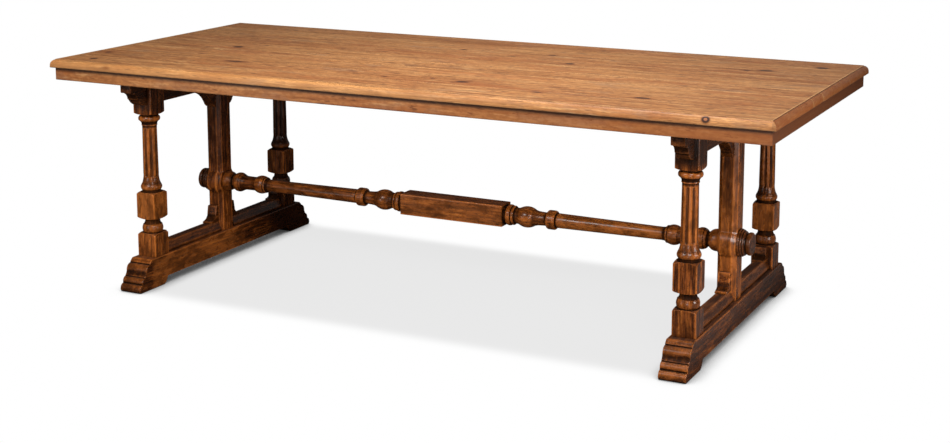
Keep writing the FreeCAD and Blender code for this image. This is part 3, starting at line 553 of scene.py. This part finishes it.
def build_post(side, sign):
    """A chamfered post that swells into a round boss where the stretcher comes through."""
    reach = np.sqrt((BOSS_RADIUS + BOSS_FILLET) ** 2 - (POST_FACE + BOSS_FILLET) ** 2)
    ratio = BOSS_RADIUS / (BOSS_RADIUS + BOSS_FILLET)
    fillet = np.degrees(np.arctan2(reach, POST_FACE + BOSS_FILLET))
    boss = STRETCHER_HEIGHT - FOOT_HEIGHT
    wide = (POST_FACE + BOSS_FILLET) * ratio
    rows = [
        (POST_FACE, 0, 0), (POST_FACE, boss - reach, -fillet), (wide, boss - reach * ratio, 2 * fillet),
        (wide, boss + reach * ratio, -fillet), (POST_FACE, boss + reach, 0),
        (POST_FACE, BEARER_LEVEL - FOOT_HEIGHT, 0),
    ]
    edge = shaped_edge(swapped(rows), 1, *POST_CUT)[0]
    plain = np.zeros(len(edge))
    shaped_board(f"{side}_post", edge, plain, plain, np.conj(edge), POST_THICKNESS / 2, POST_CHAMFER,
                 UPRIGHT, (sign * TRESTLE_REACH, 0, FOOT_HEIGHT), True)


def build_bearer(side, sign):
    """A bearer on edge: straight upper edge against a lower edge with a corbel at each end."""
    half = scaled(CORBEL, LEG_FACE_OUT, CORBEL_RUN, 0, CORBEL_DROP)
    half.append((LEG_FACE_OUT + CORBEL_RUN, BEARER_HEIGHT, 0))
    edge, wear_and_highlight, crevice_shade = shaped_edge(mirrored(half) + half, -1, *BEARER_CUT)
    other = edge.real + 1j * BEARER_HEIGHT
    shaped_board(f"{side}_bearer", edge, wear_and_highlight, crevice_shade, other, BEARER_WIDTH / 2, BEARER_ARRIS, EDGEWISE,
                 (sign * TRESTLE_REACH, 0, BEARER_LEVEL))


def build_block(node, shares, run, height, back, foot, sign, way):
    """A knee or bracket: its shaped edge against its straight edge, its back on an upright face."""
    rising = shares[0][0] == 0
    rows = scaled(shares, 0, run, 0, height)
    edge, wear_and_highlight, crevice_shade = shaped_edge(rows, -1, *BLOCK_CUT)
    other = edge.real + 1j * (height if rising else 0)
    shaped_board(node, edge, wear_and_highlight, crevice_shade, other, BLOCK_WIDTH / 2, BLOCK_ARRIS,
                 ((0, way, 0), (0, 0, 1), (1, 0, 0)), (sign * TRESTLE_REACH, back, foot))


def build_rail(side, place, sign, way):
    """A bevelled strip on the foot: its section carried from the leg's plinth to the post."""
    half = [(RAIL_WIDTH / 2, 0, 0), (RAIL_WIDTH / 2, RAIL_SIDE, 0), (RAIL_CROWN / 2, RAIL_HEIGHT, 0)]
    rows = half + mirrored(half) + half[:1]
    section, wear_and_highlight, _ = (field[:-1] for field in shaped_edge(rows, -1, *RAIL_CUT))
    # Painted shade along the foot of the rail, where it meets the foot
    joint_shade = RAIL_SHADE * unit((RAIL_SHADE_TOP - section.imag) / RAIL_SHADE_FADE)

    def to_frame(along, flat):
        return np.stack([sign * TRESTLE_REACH + flat.real, way * along, FOOT_HEIGHT + flat.imag], -1)

    carried_piece(f"{side}_{place}_rail", section, wear_and_highlight, joint_shade, POST_FACE, LEG_FACE_IN, RAIL_STEPS,
                  to_frame, "base_wood")


def carried_piece(node, section, wear_and_highlight, crevice_shade, start, end, stations, to_frame, slot, shear=0.0):
    """A section carried along a straight path, closed at each end by a pole in the middle of the
    section. Shear moves an end in by that share of the section's own depth, which cuts a mitre."""
    share = np.concatenate([[0], np.linspace(0, 1, stations), [1]])
    flat = np.broadcast_to(section, (len(share), len(section))).copy()
    flat[0] = flat[-1] = section.mean()
    low = start + shear * flat.real
    high = end - shear * flat.real
    along = low + (high - low) * share[:, None]
    sheet = {
        "at": to_frame(along, flat), "closed": True, "wear_and_highlight": wear_and_highlight, "tone_and_light": tone_and_light_along(node, along),
        "grain": np.stack([along, flat.imag, flat.real], -1),
        "crevice_shade": np.maximum(np.interp(along, *GLOOM.get(node, level(0))), crevice_shade),
    }
    make_piece(node, [sheet], slot)


def build_stretcher():
    """The stretcher: one edge from tenon to tenon turned about its length, square in the middle."""
    inner = TRESTLE_REACH - POST_THICKNESS / 2
    tip = TRESTLE_REACH + POST_THICKNESS / 2 + TENON_IN_FINIAL
    block = BLOCK_LENGTH / 2
    half = [(tip, TENON_RADIUS, 0), (inner, TENON_RADIUS, 0)]
    half += scaled(CUP, inner, -CUP_RUN, 0, CUP_RADIUS)
    half += [(inner - CUP_RUN, ROD_THIN, 0), (block + VASE_RUN, ROD_THICK, 0)]
    half += scaled(VASE, block, VASE_RUN, 0, STRETCHER_BLOCK / 2)
    half.append((block, STRETCHER_BLOCK * STRETCHER_CLEAR, 0))
    turned_piece(
        "stretcher", swapped(half + mirrored(half)), 1, STRETCHER_STATIONS,
        ring_angles(STRETCHER_ANGLES, True), (0, 0, STRETCHER_HEIGHT), "x", FINE_EASE,
        square=STRETCHER_BLOCK / 2, power=STRETCHER_POWER)


def build_finial(side, sign):
    """A finial: its stepped edge turned about the stretcher's axis, outwards from the post."""
    rows = [(sign * a, b, t * sign) for a, b, t in scaled(FINIAL, 0, FINIAL_RUN, 0, FINIAL_RADIUS)]
    centre = (sign * (TRESTLE_REACH + POST_THICKNESS / 2), 0, STRETCHER_HEIGHT)
    turned_piece(f"{side}_finial", swapped(rows), -sign, FINIAL_STATIONS,
                 ring_angles(FINIAL_ANGLES, False), centre, "x", FINE_EASE)


# Pieces of the top

def knot_fields(x, y):
    """How far each point is in a knot, and how far the grain bends aside round the knots. Both fade as
    bells of the distance in knot lengths and widths."""
    tall = KNOTS[:, 3] * np.where(KNOTS[:, 1] < NOSING_LINE, 1.0, KNOT_STRETCH)
    along = (x[..., None] - KNOTS[:, 0]) / KNOTS[:, 2]
    across = (y[..., None] - KNOTS[:, 1]) / tall
    inside = (KNOTS[:, 4] * np.exp(-KNOT_FALL * (along ** 2 + across ** 2))).max(-1)
    fall = np.exp(-BEND_FALL_ALONG * along ** 2 - BEND_FALL_ACROSS * across ** 2)
    return inside, -BEND_SHARE * (KNOTS[:, 3] * across * fall).sum(-1)


def rim_heights(distance):
    """Upper and lower face of a board at a distance in from the rim, above the underside, read straight
    between points of the thumb moulding and of the round under its tip."""
    thumb = even_points(THUMB, RIM_STEP)[::-1]
    under = even_points([(0, NOSE_TIP, UNDER_RIM_TURN), (NOSE_UNDER, 0, 0)], RIM_STEP)
    upper_at = np.append(thumb.real, [NOSE_RUN + QUIRK_WALL, NOSE_RUN + QUIRK_REST, FAR])
    top = BOARD_THICKNESS
    upper_z = np.append(thumb.imag, [top - QUIRK_EASE, top, top])
    order = np.argsort(upper_at, kind="stable")
    upper = np.interp(distance, upper_at[order], upper_z[order])
    return upper, np.interp(distance, np.append(under.real, FAR), np.append(under.imag, 0))


# Steps of the rows in from the moulded rim
NOSE_STEPS = np.append(
    NOSE_RUN * np.array([
        0, 0.0014, 0.0055, 0.0137, 0.0274, 0.048, 0.075, 0.11, 0.158, 0.219, 0.295, 0.384, 0.493,
        0.616, 0.753, 0.89, 0.973, 0.9986]),
    NOSE_RUN + np.array([0.18, 0.8, 1.9, 4.4]))


def build_board(number, x, edges):
    """One top board: an upper and a lower face that meet on the moulded rim, and a wall down each seam,
    whose arris is eased by its depth times (1 - d / reach)^2 at a distance d within its reach."""
    node = f"top_board_{number + 1}"
    first, last = number == 0, number == len(BOARD_WIDTH_SHARES) - 1
    low, high = edges[number] + SEAM_GAP, edges[number + 1] - SEAM_GAP
    front = edges[0] + NOSE_STEPS if first else low + SEAM_STEPS
    back = edges[-1] - NOSE_STEPS[::-1] if last else high - SEAM_STEPS[::-1]
    inner = np.linspace(front[-1] + ROW_INSET, back[0] - ROW_INSET, BOARD_ROWS)
    grid_x, grid_y = np.meshgrid(x, np.concatenate([front, inner, back]), indexing="ij")
    far = np.full_like(grid_y, FAR)
    to_end = HALF_LENGTH - np.abs(grid_x)
    to_front = grid_y - edges[0] if first else far
    to_back = edges[-1] - grid_y if last else far
    to_side = np.minimum(to_front, to_back)
    to_rim = np.minimum(to_end, to_side)
    seam_front = far if first else grid_y - low
    seam_back = far if last else high - grid_y
    upper, lower = rim_heights(to_rim)
    groove = SEAM_DEPTH * unit(1 - np.minimum(seam_front, seam_back) / SEAM_REACH) ** 2
    upper = np.maximum(upper - groove * unit((upper - lower) / SEAM_CLEAR), lower)
    fall = np.where(to_front < NOSE_RUN, BOARD_THICKNESS - upper, 0)
    knot, aside = knot_fields(grid_x, grid_y - fall)

    # Seams are pale, more so to the right, or dark; the rim gets painted shade in its quirk, on its lip
    # and along the right end, and a painted highlight on its arris
    pale_front, pale_back = (0, *PALE_SEAMS)[number], (*PALE_SEAMS, 0)[number]
    line = np.maximum(pale_front * bell(seam_front, PALE_REACH), pale_back * bell(seam_back, PALE_REACH))
    line = line * np.clip((grid_x - PALE_FROM) / PALE_RUN, PALE_LEAST, 1)
    dark = np.maximum((1 - pale_front) * bell(seam_front, DARK_REACH),
                      (1 - pale_back) * bell(seam_back, DARK_REACH))
    on_end = to_end < np.minimum(NOSE_RUN, to_side)
    quirk = bell(to_rim - NOSE_RUN + QUIRK_PLACE, QUIRK_REACH) * np.where(on_end, 1.0, QUIRK_SHADE)
    arris = bell(to_rim - NOSE_RUN - ARRIS_HIGHLIGHT_PLACE, ARRIS_HIGHLIGHT_REACH)
    lip = LIP_SHADE * unit((LIP_TOP - upper) / LIP_FADE) * (to_rim < NOSE_RUN)
    lip = np.maximum(lip, END_SHADE * (HALF_LENGTH - grid_x < NOSE_RUN - END_SHADE_INSET))

    # End grain is short: the figure there runs quickly along and slowly across
    across = np.where(on_end, END_ACROSS * grid_y + END_OFFSET, grid_y + aside)
    grain = np.stack([np.where(on_end, END_ALONG * grid_x, grid_x), across, upper], -1)
    # Painted light along the front nosing, fading at the right end; elsewhere the boards' own tones
    on_front = (to_front < NOSE_RUN) & ~on_end
    tone_and_light = np.where(on_front, np.interp(grid_x, *NOSING_PAINTED_LIGHT), BOARD_TONES[number])
    sheets = [{
        "at": np.stack([grid_x, grid_y, UNDERSIDE + upper], -1), "grain": grain, "knot": knot,
        "wear_and_highlight": np.maximum(line, arris),
        "crevice_shade": np.maximum(np.maximum(SEAM_SHADE * dark, quirk), lip),
        "tone_and_light": np.where(on_end, END_TONE, tone_and_light),
    }, {
        "at": np.stack([grid_x, grid_y, UNDERSIDE + lower], -1), "grain": grain,
        "crevice_shade": unit((NOSE_UNDER + UNDER_SHADE_FROM - to_rim) / UNDER_SHADE_FADE),
    }]
    wall_share = np.linspace(0, 1, WALL_ROWS)
    for row, seam in ((0, not first), (-1, not last)):
        if seam:
            wall_z = lower[:, row, None] + (upper - lower)[:, row, None] * wall_share
            places = np.broadcast_arrays(x[:, None], grid_y[:, row, None], UNDERSIDE + wall_z)
            wall = np.stack(places, -1)
            # The seam walls are painted in full shade
            sheets.append({"at": wall, "grain": wall - [0, 0, UNDERSIDE], "crevice_shade": 1.0})
    make_piece(node, sheets, "top_wood", BOARD_TONES[number])


def build_boards():
    """The top boards, front to back, by their shares of the width."""
    inner = np.linspace(-HALF_LENGTH + BOARD_INSET, HALF_LENGTH - BOARD_INSET, BOARD_STATIONS)
    x = np.concatenate([-HALF_LENGTH + NOSE_STEPS, inner, HALF_LENGTH - NOSE_STEPS[::-1]])
    shares = np.append(0, np.cumsum(BOARD_WIDTH_SHARES))
    edges = -HALF_WIDTH + TOP_WIDTH * shares / sum(BOARD_WIDTH_SHARES)
    for number in range(len(BOARD_WIDTH_SHARES)):
        build_board(number, x, edges)


def build_aprons():
    """The mitred skirt: a rectangle with eased arrises carried along each side, with mitred ends."""
    middle = (0, APRON_HEIGHT / 2, 0)
    rows = [middle, (0, 0, 0), (APRON_THICKNESS, 0, 0), (APRON_THICKNESS, APRON_HEIGHT, 0),
            (0, APRON_HEIGHT, 0), middle]
    section = shaped_edge(rows, -1, *APRON_CUT)[0][:-1]
    top_shade = unit((section.imag - APRON_HEIGHT + TOP_SHADE_FROM) / TOP_SHADE_FADE)
    low_shade = LOW_SHADE * unit((LOW_SHADE_TOP - section.imag) / LOW_SHADE_FADE)
    long_half, deep_half = HALF_LENGTH - APRON_SETBACK, HALF_WIDTH - APRON_SETBACK
    layouts = {"front": (-1, True), "back": (1, True), "left": (-1, False), "right": (1, False)}
    for side, (sign, lengthwise) in layouts.items():
        half, out = (long_half, deep_half) if lengthwise else (deep_half, long_half)

        def to_frame(along, flat):
            aside = sign * (out - flat.real)
            flat_place = (along, aside) if lengthwise else (aside, along)
            return np.stack([*flat_place, UNDERSIDE - APRON_HEIGHT + flat.imag], -1)

        carried_piece(f"{side}_apron", section, 0.0, np.maximum(top_shade, low_shade), -half, half,
                      APRON_STEPS, to_frame, "top_wood", 1.0)


# Finishes

PALE_WOOD = (236, 184, 124)


def tint(red, green, blue):
    """A colour as it looks on a screen, in linear light."""
    value = np.array([red, green, blue]) / 255
    linear = np.where(value <= 0.04045, value / 12.92, ((value + 0.055) / 1.055) ** 2.4)
    return (*(float(v) for v in linear), 1.0)


class Finish:
    """A node tree in the making, with short words for the nodes that a finish needs."""

    def __init__(self, owner):
        self.owner = owner
        owner.use_nodes = True
        self.tree = owner.node_tree
        self.tree.nodes.clear()

    def node(self, kind, feeds, **settings):
        """A node with its settings, each input a value or another node's output."""
        node = self.tree.nodes.new("ShaderNode" + kind)
        for key, value in settings.items():
            setattr(node, key, value)
        for key, value in feeds.items():
            if isinstance(value, bpy.types.NodeSocket):
                self.tree.links.new(value, node.inputs[key])
            else:
                node.inputs[key].default_value = value
        return node

    def add(self, kind, feeds, output=0, **settings):
        """One output of a new node."""
        return self.node(kind, feeds, **settings).outputs[output]

    def field(self, name, output="Fac"):
        """One of the piece's own fields."""
        return self.add("Attribute", {}, attribute_name=name, output=output)

    def maths(self, operation, first, second):
        """Arithmetic on two values, kept between 0 and 1."""
        feeds = {0: first, 1: second}
        return self.add("Math", feeds, operation=operation, use_clamp=True)

    def times(self, first, second):
        """The product of two values."""
        return self.maths("MULTIPLY", first, second)

    def most(self, first, second):
        """The greater of two values."""
        return self.maths("MAXIMUM", first, second)

    def mean(self, first, second, share):
        """Two values added, the first one with its share and the second with the rest."""
        return self.maths("ADD", self.times(first, share), self.times(second, 1.0 - share))

    def spread(self, value, low, high, low_out=0.0, high_out=1.0):
        """A value from one range carried smoothly to another."""
        feeds = {
            "Value": value, "From Min": low, "From Max": high, "To Min": low_out, "To Max": high_out}
        return self.add("MapRange", feeds, interpolation_type="SMOOTHSTEP")

    def noise(self, vector, scale, detail=3.0, rough=0.55, output="Fac"):
        """Noise stretched by its own scale along, up and through the grain."""
        mapped = self.add("Mapping", {"Vector": vector, "Scale": scale})
        feeds = {"Vector": mapped, "Scale": 1.0, "Detail": detail, "Roughness": rough}
        return self.add("TexNoise", feeds, output=output)

    def swayed(self, vector, scale, reach):
        """A vector moved aside by slow noise, so that the figure wanders."""
        sway = self.noise(vector, scale, 2, 0.5, "Color")
        sway = self.add("VectorMath", {0: sway, 1: reach}, operation="MULTIPLY")
        return self.add("VectorMath", {0: vector, 1: sway}, operation="ADD")

    def openness(self, distance):
        """How open a point is to what lies within a distance."""
        return self.add("AmbientOcclusion", {"Distance": distance}, samples=8, output="AO")

    def shade_of_hollows(self, distance):
        """Painted shade of hollows: how shut in a point is by what lies within a distance, from 0 in the
        open to 0.85.
        """
        return self.spread(self.openness(distance), 0.25, 0.80, 0.85, 0.0)

    def ramp(self, value, stops):
        """Colours at stops along a value."""
        node = self.node("ValToRGB", {"Fac": value})
        elements = node.color_ramp.elements
        while len(elements) < len(stops):
            elements.new(0.5)
        for element, (place, *shade) in zip(elements, stops):
            element.position = place
            element.color = tint(*shade)
        return node.outputs[0]

    def blend(self, share, under, over):
        """One colour laid over another by a share."""
        return self.add("Mix", {0: share, 6: under, 7: over}, data_type="RGBA", output=2)

    def stain(self, colour, value, low, high, share, shade):
        """A colour laid over where a value is high, up to a share."""
        return self.blend(self.spread(value, low, high, 0.0, share), colour, tint(*shade))

    def finish(self, colour, roughness, height, strength, distance, specular, metallic=0.0):
        """The shader itself: colour, roughness and the bump of its grain."""
        bump = self.add("Bump", {"Height": height, "Strength": strength, "Distance": distance})
        feeds = {"Base Color": colour, "Roughness": roughness, "Normal": bump,
                 "Specular IOR Level": specular, "Metallic": metallic}
        self.node("OutputMaterial", {"Surface": self.add("BsdfPrincipled", feeds)})
        return self.owner


def make_top_wood():
    """Waxed honey-brown softwood: long streaks, fine fibre, dark marks, red patches and knots."""
    f = Finish(bpy.data.materials.new("top_wood_waxed"))
    grain = f.field("grain", "Vector")
    figure = f.swayed(grain, (1.8, 6, 6), (0, 0.026, 0.026))
    broad = f.noise(figure, (1.5, 15, 15), 6, 0.66)
    rings = f.noise(figure, (4, 70, 70), 5, 0.72)
    fibre = f.noise(figure, (50, 90, 400), 2, 0.6)
    patch = f.noise(grain, (3, 8, 8), 4, 0.6)
    pale = f.noise(figure, (5, 62, 150), 3, 0.6)
    streak = f.noise(figure, (5, 58, 110), 4, 0.66)
    mark = f.noise(figure, (18, 80, 190), 3, 0.62)
    scuff = f.noise(grain, (4.2, 13, 13), 4, 0.65)
    mixed = f.mean(broad, rings, 0.36)
    colour = f.ramp(mixed, (
        (0.34, 112, 64, 28), (0.45, 170, 109, 58), (0.54, 196, 134, 77), (0.66, 222, 162, 102)))
    colour = f.stain(colour, patch, 0.48, 0.66, 0.5, (168, 94, 44))
    colour = f.stain(colour, pale, 0.56, 0.72, 0.65, PALE_WOOD)
    colour = f.stain(colour, streak, 0.54, 0.68, 0.6, (116, 66, 32))
    colour = f.stain(colour, scuff, 0.56, 0.70, 0.4, (152, 122, 98))
    colour = f.stain(colour, mark, 0.60, 0.68, 0.8, (74, 42, 22))
    colour = f.blend(f.spread(fibre, 0.36, 0.60, 0.42, 0.0), colour, tint(112, 64, 32))
    # The tone field: the boards' own tones, darker ends, and painted light along the front nosing
    tone_and_light = f.field("tone_and_light")
    colour = f.blend(f.times(tone_and_light, 0.6), colour, tint(226, 164, 100))
    colour = f.blend(f.times(tone_and_light, -0.9), colour, tint(150, 78, 26))
    knot = f.field("knot")
    colour = f.stain(colour, knot, 0.08, 0.45, 0.7, (128, 68, 30))
    colour = f.stain(colour, knot, 0.34, 0.60, 0.95, (54, 28, 16))
    colour = f.stain(colour, knot, 0.95, 1.2, 0.8, (176, 106, 62))
    # Painted shade in creases, seam gaps and under the rim, and wherever the surface is shut in
    hollow_shade = f.most(f.times(f.field("crevice_shade"), 0.8), f.shade_of_hollows(0.016))
    # Pale seams, and a painted highlight along the rim's arris
    colour = f.blend(f.times(f.field("wear_and_highlight"), 0.6), colour, tint(*PALE_WOOD))
    colour = f.blend(hollow_shade, colour, tint(34, 16, 7))
    roughness = f.spread(mixed, 0.3, 0.7, 0.54, 0.42)
    return f.finish(colour, roughness, f.mean(fibre, rings, 0.5), 0.25, 0.0014, 0.35)


def make_base_wood():
    """Dark stained hardwood under satin wax: blotches, worn arrises, painted black shade in hollows,
    dust and painted sheen on upward faces, and painted light and shade along each piece.
    """
    f = Finish(bpy.data.materials.new("base_wood_stained"))
    grain = f.field("grain", "Vector")
    figure = f.swayed(grain, (6, 18, 18), (0, 0.012, 0.012))
    broad = f.noise(figure, (6, 80, 80), 4, 0.66)
    lines = f.noise(figure, (14, 190, 190), 4, 0.66)
    fleck = f.noise(figure, (44, 190, 190), 3, 0.62)
    blotch = f.noise(grain, (18, 30, 30), 4, 0.6)
    colour = f.ramp(f.mean(broad, lines, 0.5), (
        (0.36, 22, 9, 3), (0.46, 82, 39, 12), (0.54, 138, 71, 24), (0.66, 206, 120, 48)))
    # The tone field is mostly painted light and shade: paler where the lamps fall, darker under the top
    # and away from them
    tone_and_light = f.field("tone_and_light")
    colour = f.blend(f.times(tone_and_light, 0.8), colour, tint(184, 105, 42))
    colour = f.blend(f.times(tone_and_light, -0.9), colour, tint(36, 16, 5))
    colour = f.blend(f.spread(blotch, 0.36, 0.58, 0.6, 0.0), colour, tint(48, 22, 7))
    colour = f.stain(colour, fleck, 0.56, 0.68, 0.7, (40, 18, 6))
    # Painted shade, near black, in creases and wherever the surface is shut in
    hollow_shade = f.most(f.field("crevice_shade"), f.shade_of_hollows(0.02))
    worn = f.times(f.field("wear_and_highlight"), f.spread(blotch, 0.36, 0.60, 0.4, 1.0))
    worn = f.times(worn, f.spread(tone_and_light, -0.9, 0.0, 0.2, 1.0))
    worn = f.times(worn, f.spread(hollow_shade, 0.1, 0.6, 1.0, 0.0))
    colour = f.blend(f.times(worn, 0.8), colour, tint(200, 112, 42))
    colour = f.blend(f.times(hollow_shade, 0.9), colour, tint(22, 10, 4))
    normal = f.add("NewGeometry", {}, output="Normal")
    upward = f.spread(f.add("SeparateXYZ", {"Vector": normal}, output=2), 0.72, 0.98)
    # Dust and a painted sheen: upward faces laid over with a pale grey-brown
    dust_and_sheen = f.times(upward, f.spread(blotch, 0.42, 0.62, 0.0, 0.3))
    colour = f.blend(dust_and_sheen, colour, tint(92, 62, 40))
    roughness = f.spread(blotch, 0.3, 0.7, 0.20, 0.34)
    roughness = f.most(roughness, f.times(upward, 0.8))
    roughness = f.most(roughness, f.times(hollow_shade, 0.65))
    gloss = f.spread(hollow_shade, 0.0, 0.8, 0.33, 0.04)
    return f.finish(colour, roughness, f.mean(lines, blotch, 0.6), 0.3, 0.0014, gloss)


def make_screw_steel():
    """Zinc-plated steel, dulled and faintly brushed round the shank."""
    f = Finish(bpy.data.materials.new("screw_steel_dulled"))
    place = f.add("TexCoord", {}, output="Object")
    brushed = f.noise(place, (900, 900, 120), 2, 0.5)
    cloud = f.noise(place, (160, 160, 160), 3, 0.6)
    colour = f.ramp(cloud, ((0.3, 150, 150, 152), (0.7, 196, 196, 200)))
    colour = f.stain(colour, brushed, 0.4, 0.7, 0.3, (118, 118, 120))
    roughness = f.spread(brushed, 0.3, 0.7, 0.28, 0.46)
    return f.finish(colour, roughness, brushed, 0.1, 0.0002, 0.5, 1.0)


FINISHES = {"top_wood": make_top_wood(), "base_wood": make_base_wood()}

for side, sign in TRESTLES.items():
    build_foot(side, sign)
    build_post(side, sign)
    build_bearer(side, sign)
    build_finial(side, sign)
    for place, way in SIDES.items():
        name = f"{side}_{place}"
        build_leg(side, place, sign, way)
        build_rail(side, place, sign, way)
        build_block(f"{name}_post_knee", KNEE, KNEE_RUN, POST_KNEE_HEIGHT,
                    way * POST_FACE, RAIL_TOP, sign, way)
        build_block(f"{name}_leg_knee", KNEE, KNEE_RUN, LEG_KNEE_HEIGHT,
                    way * LEG_FACE_IN, RAIL_TOP, sign, -way)
        build_block(f"{name}_bracket", BRACKET, BRACKET_RUN, BRACKET_HEIGHT,
                    way * POST_FACE, BEARER_LEVEL - BRACKET_HEIGHT, sign, way)
build_stretcher()
build_boards()
build_aprons()

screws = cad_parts["top_screws"]
screws.data.materials.clear()
screws.data.materials.append(make_screw_steel())


# Stage

def make_floor():
    """A pale floor. The camera sees it white, with a painted shadow: greyer in a soft-edged field under
    the table and darker close to the feet, and a share of that field stays lit by the lamps, so that it
    keeps the real shadow. In reflections it is dark, but for a painted pool of light to the right."""
    f = Finish(bpy.data.materials.new("floor_pale"))
    place = f.add("TexCoord", {}, output="Object")
    parts = f.node("SeparateXYZ", {"Vector": place}).outputs
    across, depth = (
        f.add("Math", {0: part}, operation="ABSOLUTE") for part in parts[:2])
    # Painted shadow: a soft-edged field under the table
    under = f.times(f.spread(across, 0.90, 0.99, 1.0, 0.0), f.spread(depth, 0.42, 0.56, 1.0, 0.0))
    path = f.node("LightPath", {}).outputs
    seen = f.most(path["Is Camera Ray"], path["Is Transmission Ray"])
    share = f.times(seen, f.spread(under, 0.0, 1.0, 1.0, 0.84))
    # Painted contact shadow: darker where the feet shut the floor in
    painted_contact_shadow = f.spread(f.openness(0.07), 0.15, 0.95, 0.04, 1.0)
    grey = f.times(f.spread(under, 0.0, 1.0, 1.0, 0.93), painted_contact_shadow)
    # Painted reflection: dark floor in reflections, but for a pale pool right of the right trestle
    dim = f.times(path["Is Glossy Ray"], f.spread(parts[0], 0.96, 1.12, 0.85, 0.0))
    shade = f.blend(dim, (0.34, 0.34, 0.34, 1), (0, 0, 0, 1))
    diffuse = f.add("BsdfDiffuse", {"Color": shade})
    white = f.add("Emission", {"Color": (1, 1, 1, 1), "Strength": grey})
    mixed = f.add("MixShader", {0: share, 1: diffuse, 2: white})
    f.node("OutputMaterial", {"Surface": mixed})
    reach = 40.0
    mesh = bpy.data.meshes.new("floor")
    corners = [(-reach, -reach, 0), (reach, -reach, 0), (reach, reach, 0), (-reach, reach, 0)]
    mesh.from_pydata(corners, [], [(0, 1, 2, 3)])
    mesh.materials.append(f.owner)
    floor = put("floor", mesh)


def make_world():
    """White for the camera, dim grey as light and in reflections, where a wall behind is brighter."""
    f = Finish(bpy.data.worlds.new("studio"))
    bpy.context.scene.world = f.owner
    path = f.node("LightPath", {}).outputs
    way = f.add("TexCoord", {}, output="Generated")
    backward = f.add("SeparateXYZ", {"Vector": way}, output=1)
    feeds = {"Value": backward, "From Min": 0.70, "From Max": 0.98, "To Min": 0.08, "To Max": 0.40}
    wall = f.add("MapRange", feeds)
    glossy = f.add("Mix", {0: path["Is Glossy Ray"], 2: 0.06, 3: wall})
    clear = f.most(path["Is Transmission Ray"], path["Is Camera Ray"])
    strength = f.add("Mix", {0: clear, 2: glossy, 3: 1.0})
    white = f.add("Background", {"Color": (1, 1, 1, 1), "Strength": strength})
    f.node("OutputWorld", {"Surface": white})


def place_body(body, right, up, back, place):
    """Turn an object to its three axes and put it at a place."""
    turned = np.eye(4)
    turned[:3] = np.column_stack([right, up, back, place])
    body.matrix_world = Matrix(turned.tolist())


def add_lamp(name, place, aim, width, height, power):
    """A soft box: a rectangle of light at a place, turned to its aim."""
    lamp = bpy.data.lights.new(name, "AREA")
    lamp.shape = "RECTANGLE"
    lamp.size, lamp.size_y, lamp.energy = width, height, power
    back = np.array(place, float) - np.array(aim, float)
    back /= np.linalg.norm(back)
    right = np.cross((0, 0, 1), back)
    right /= np.linalg.norm(right)
    place_body(put(name, lamp), right, np.cross(back, right), back, place)


def add_camera():
    """The photograph's camera, fitted to the table's corners and uprights. The shift puts the frame
    below the lens axis, as in a picture cut out of the lower part of a taller one."""
    camera = bpy.data.cameras.new("camera")
    camera.sensor_width, camera.lens = 36.0, 59.1669
    camera.shift_x, camera.shift_y = -0.01408, -0.15894
    camera.clip_start, camera.clip_end = 0.1, 200.0
    body = put("camera", camera)
    right, up = (0.8973514, 0.4413165, 0.0004133), (-0.0697958, 0.1409946, 0.987547)
    back, place = (0.4357625, -0.8862056, 0.1573238), (2.3057549, -4.4402433, 1.530934)
    place_body(body, right, up, back, place)
    bpy.context.scene.camera = body


make_floor()
make_world()
add_lamp("left_key_soft_box", (-0.9, -2.9, 2.3), (0.1, 0.0, 0.5), 1.0, 0.8, 45.0)
add_lamp("right_key_soft_box", (2.0, -2.6, 2.4), (-0.2, 0.0, 0.5), 1.0, 0.8, 56.0)
add_lamp("overhead_soft_box", (0.22, -0.35, 2.35), (0.22, -0.3, 0.0), 1.2, 0.9, 30.5)
add_lamp("side_soft_box", (2.2, -0.4, 0.62), (0.9, 0.0, 0.25), 0.5, 0.4, 11.0)
add_lamp("low_left_soft_box", (-1.7, -2.8, 0.45), (-0.7, 0.0, 0.3), 0.8, 0.5, 9.0)
add_lamp("low_right_soft_box", (1.4, -2.8, 0.45), (0.7, 0.0, 0.3), 0.8, 0.5, 12.0)
add_camera()
bpy.context.scene.view_settings.view_transform = "Standard"
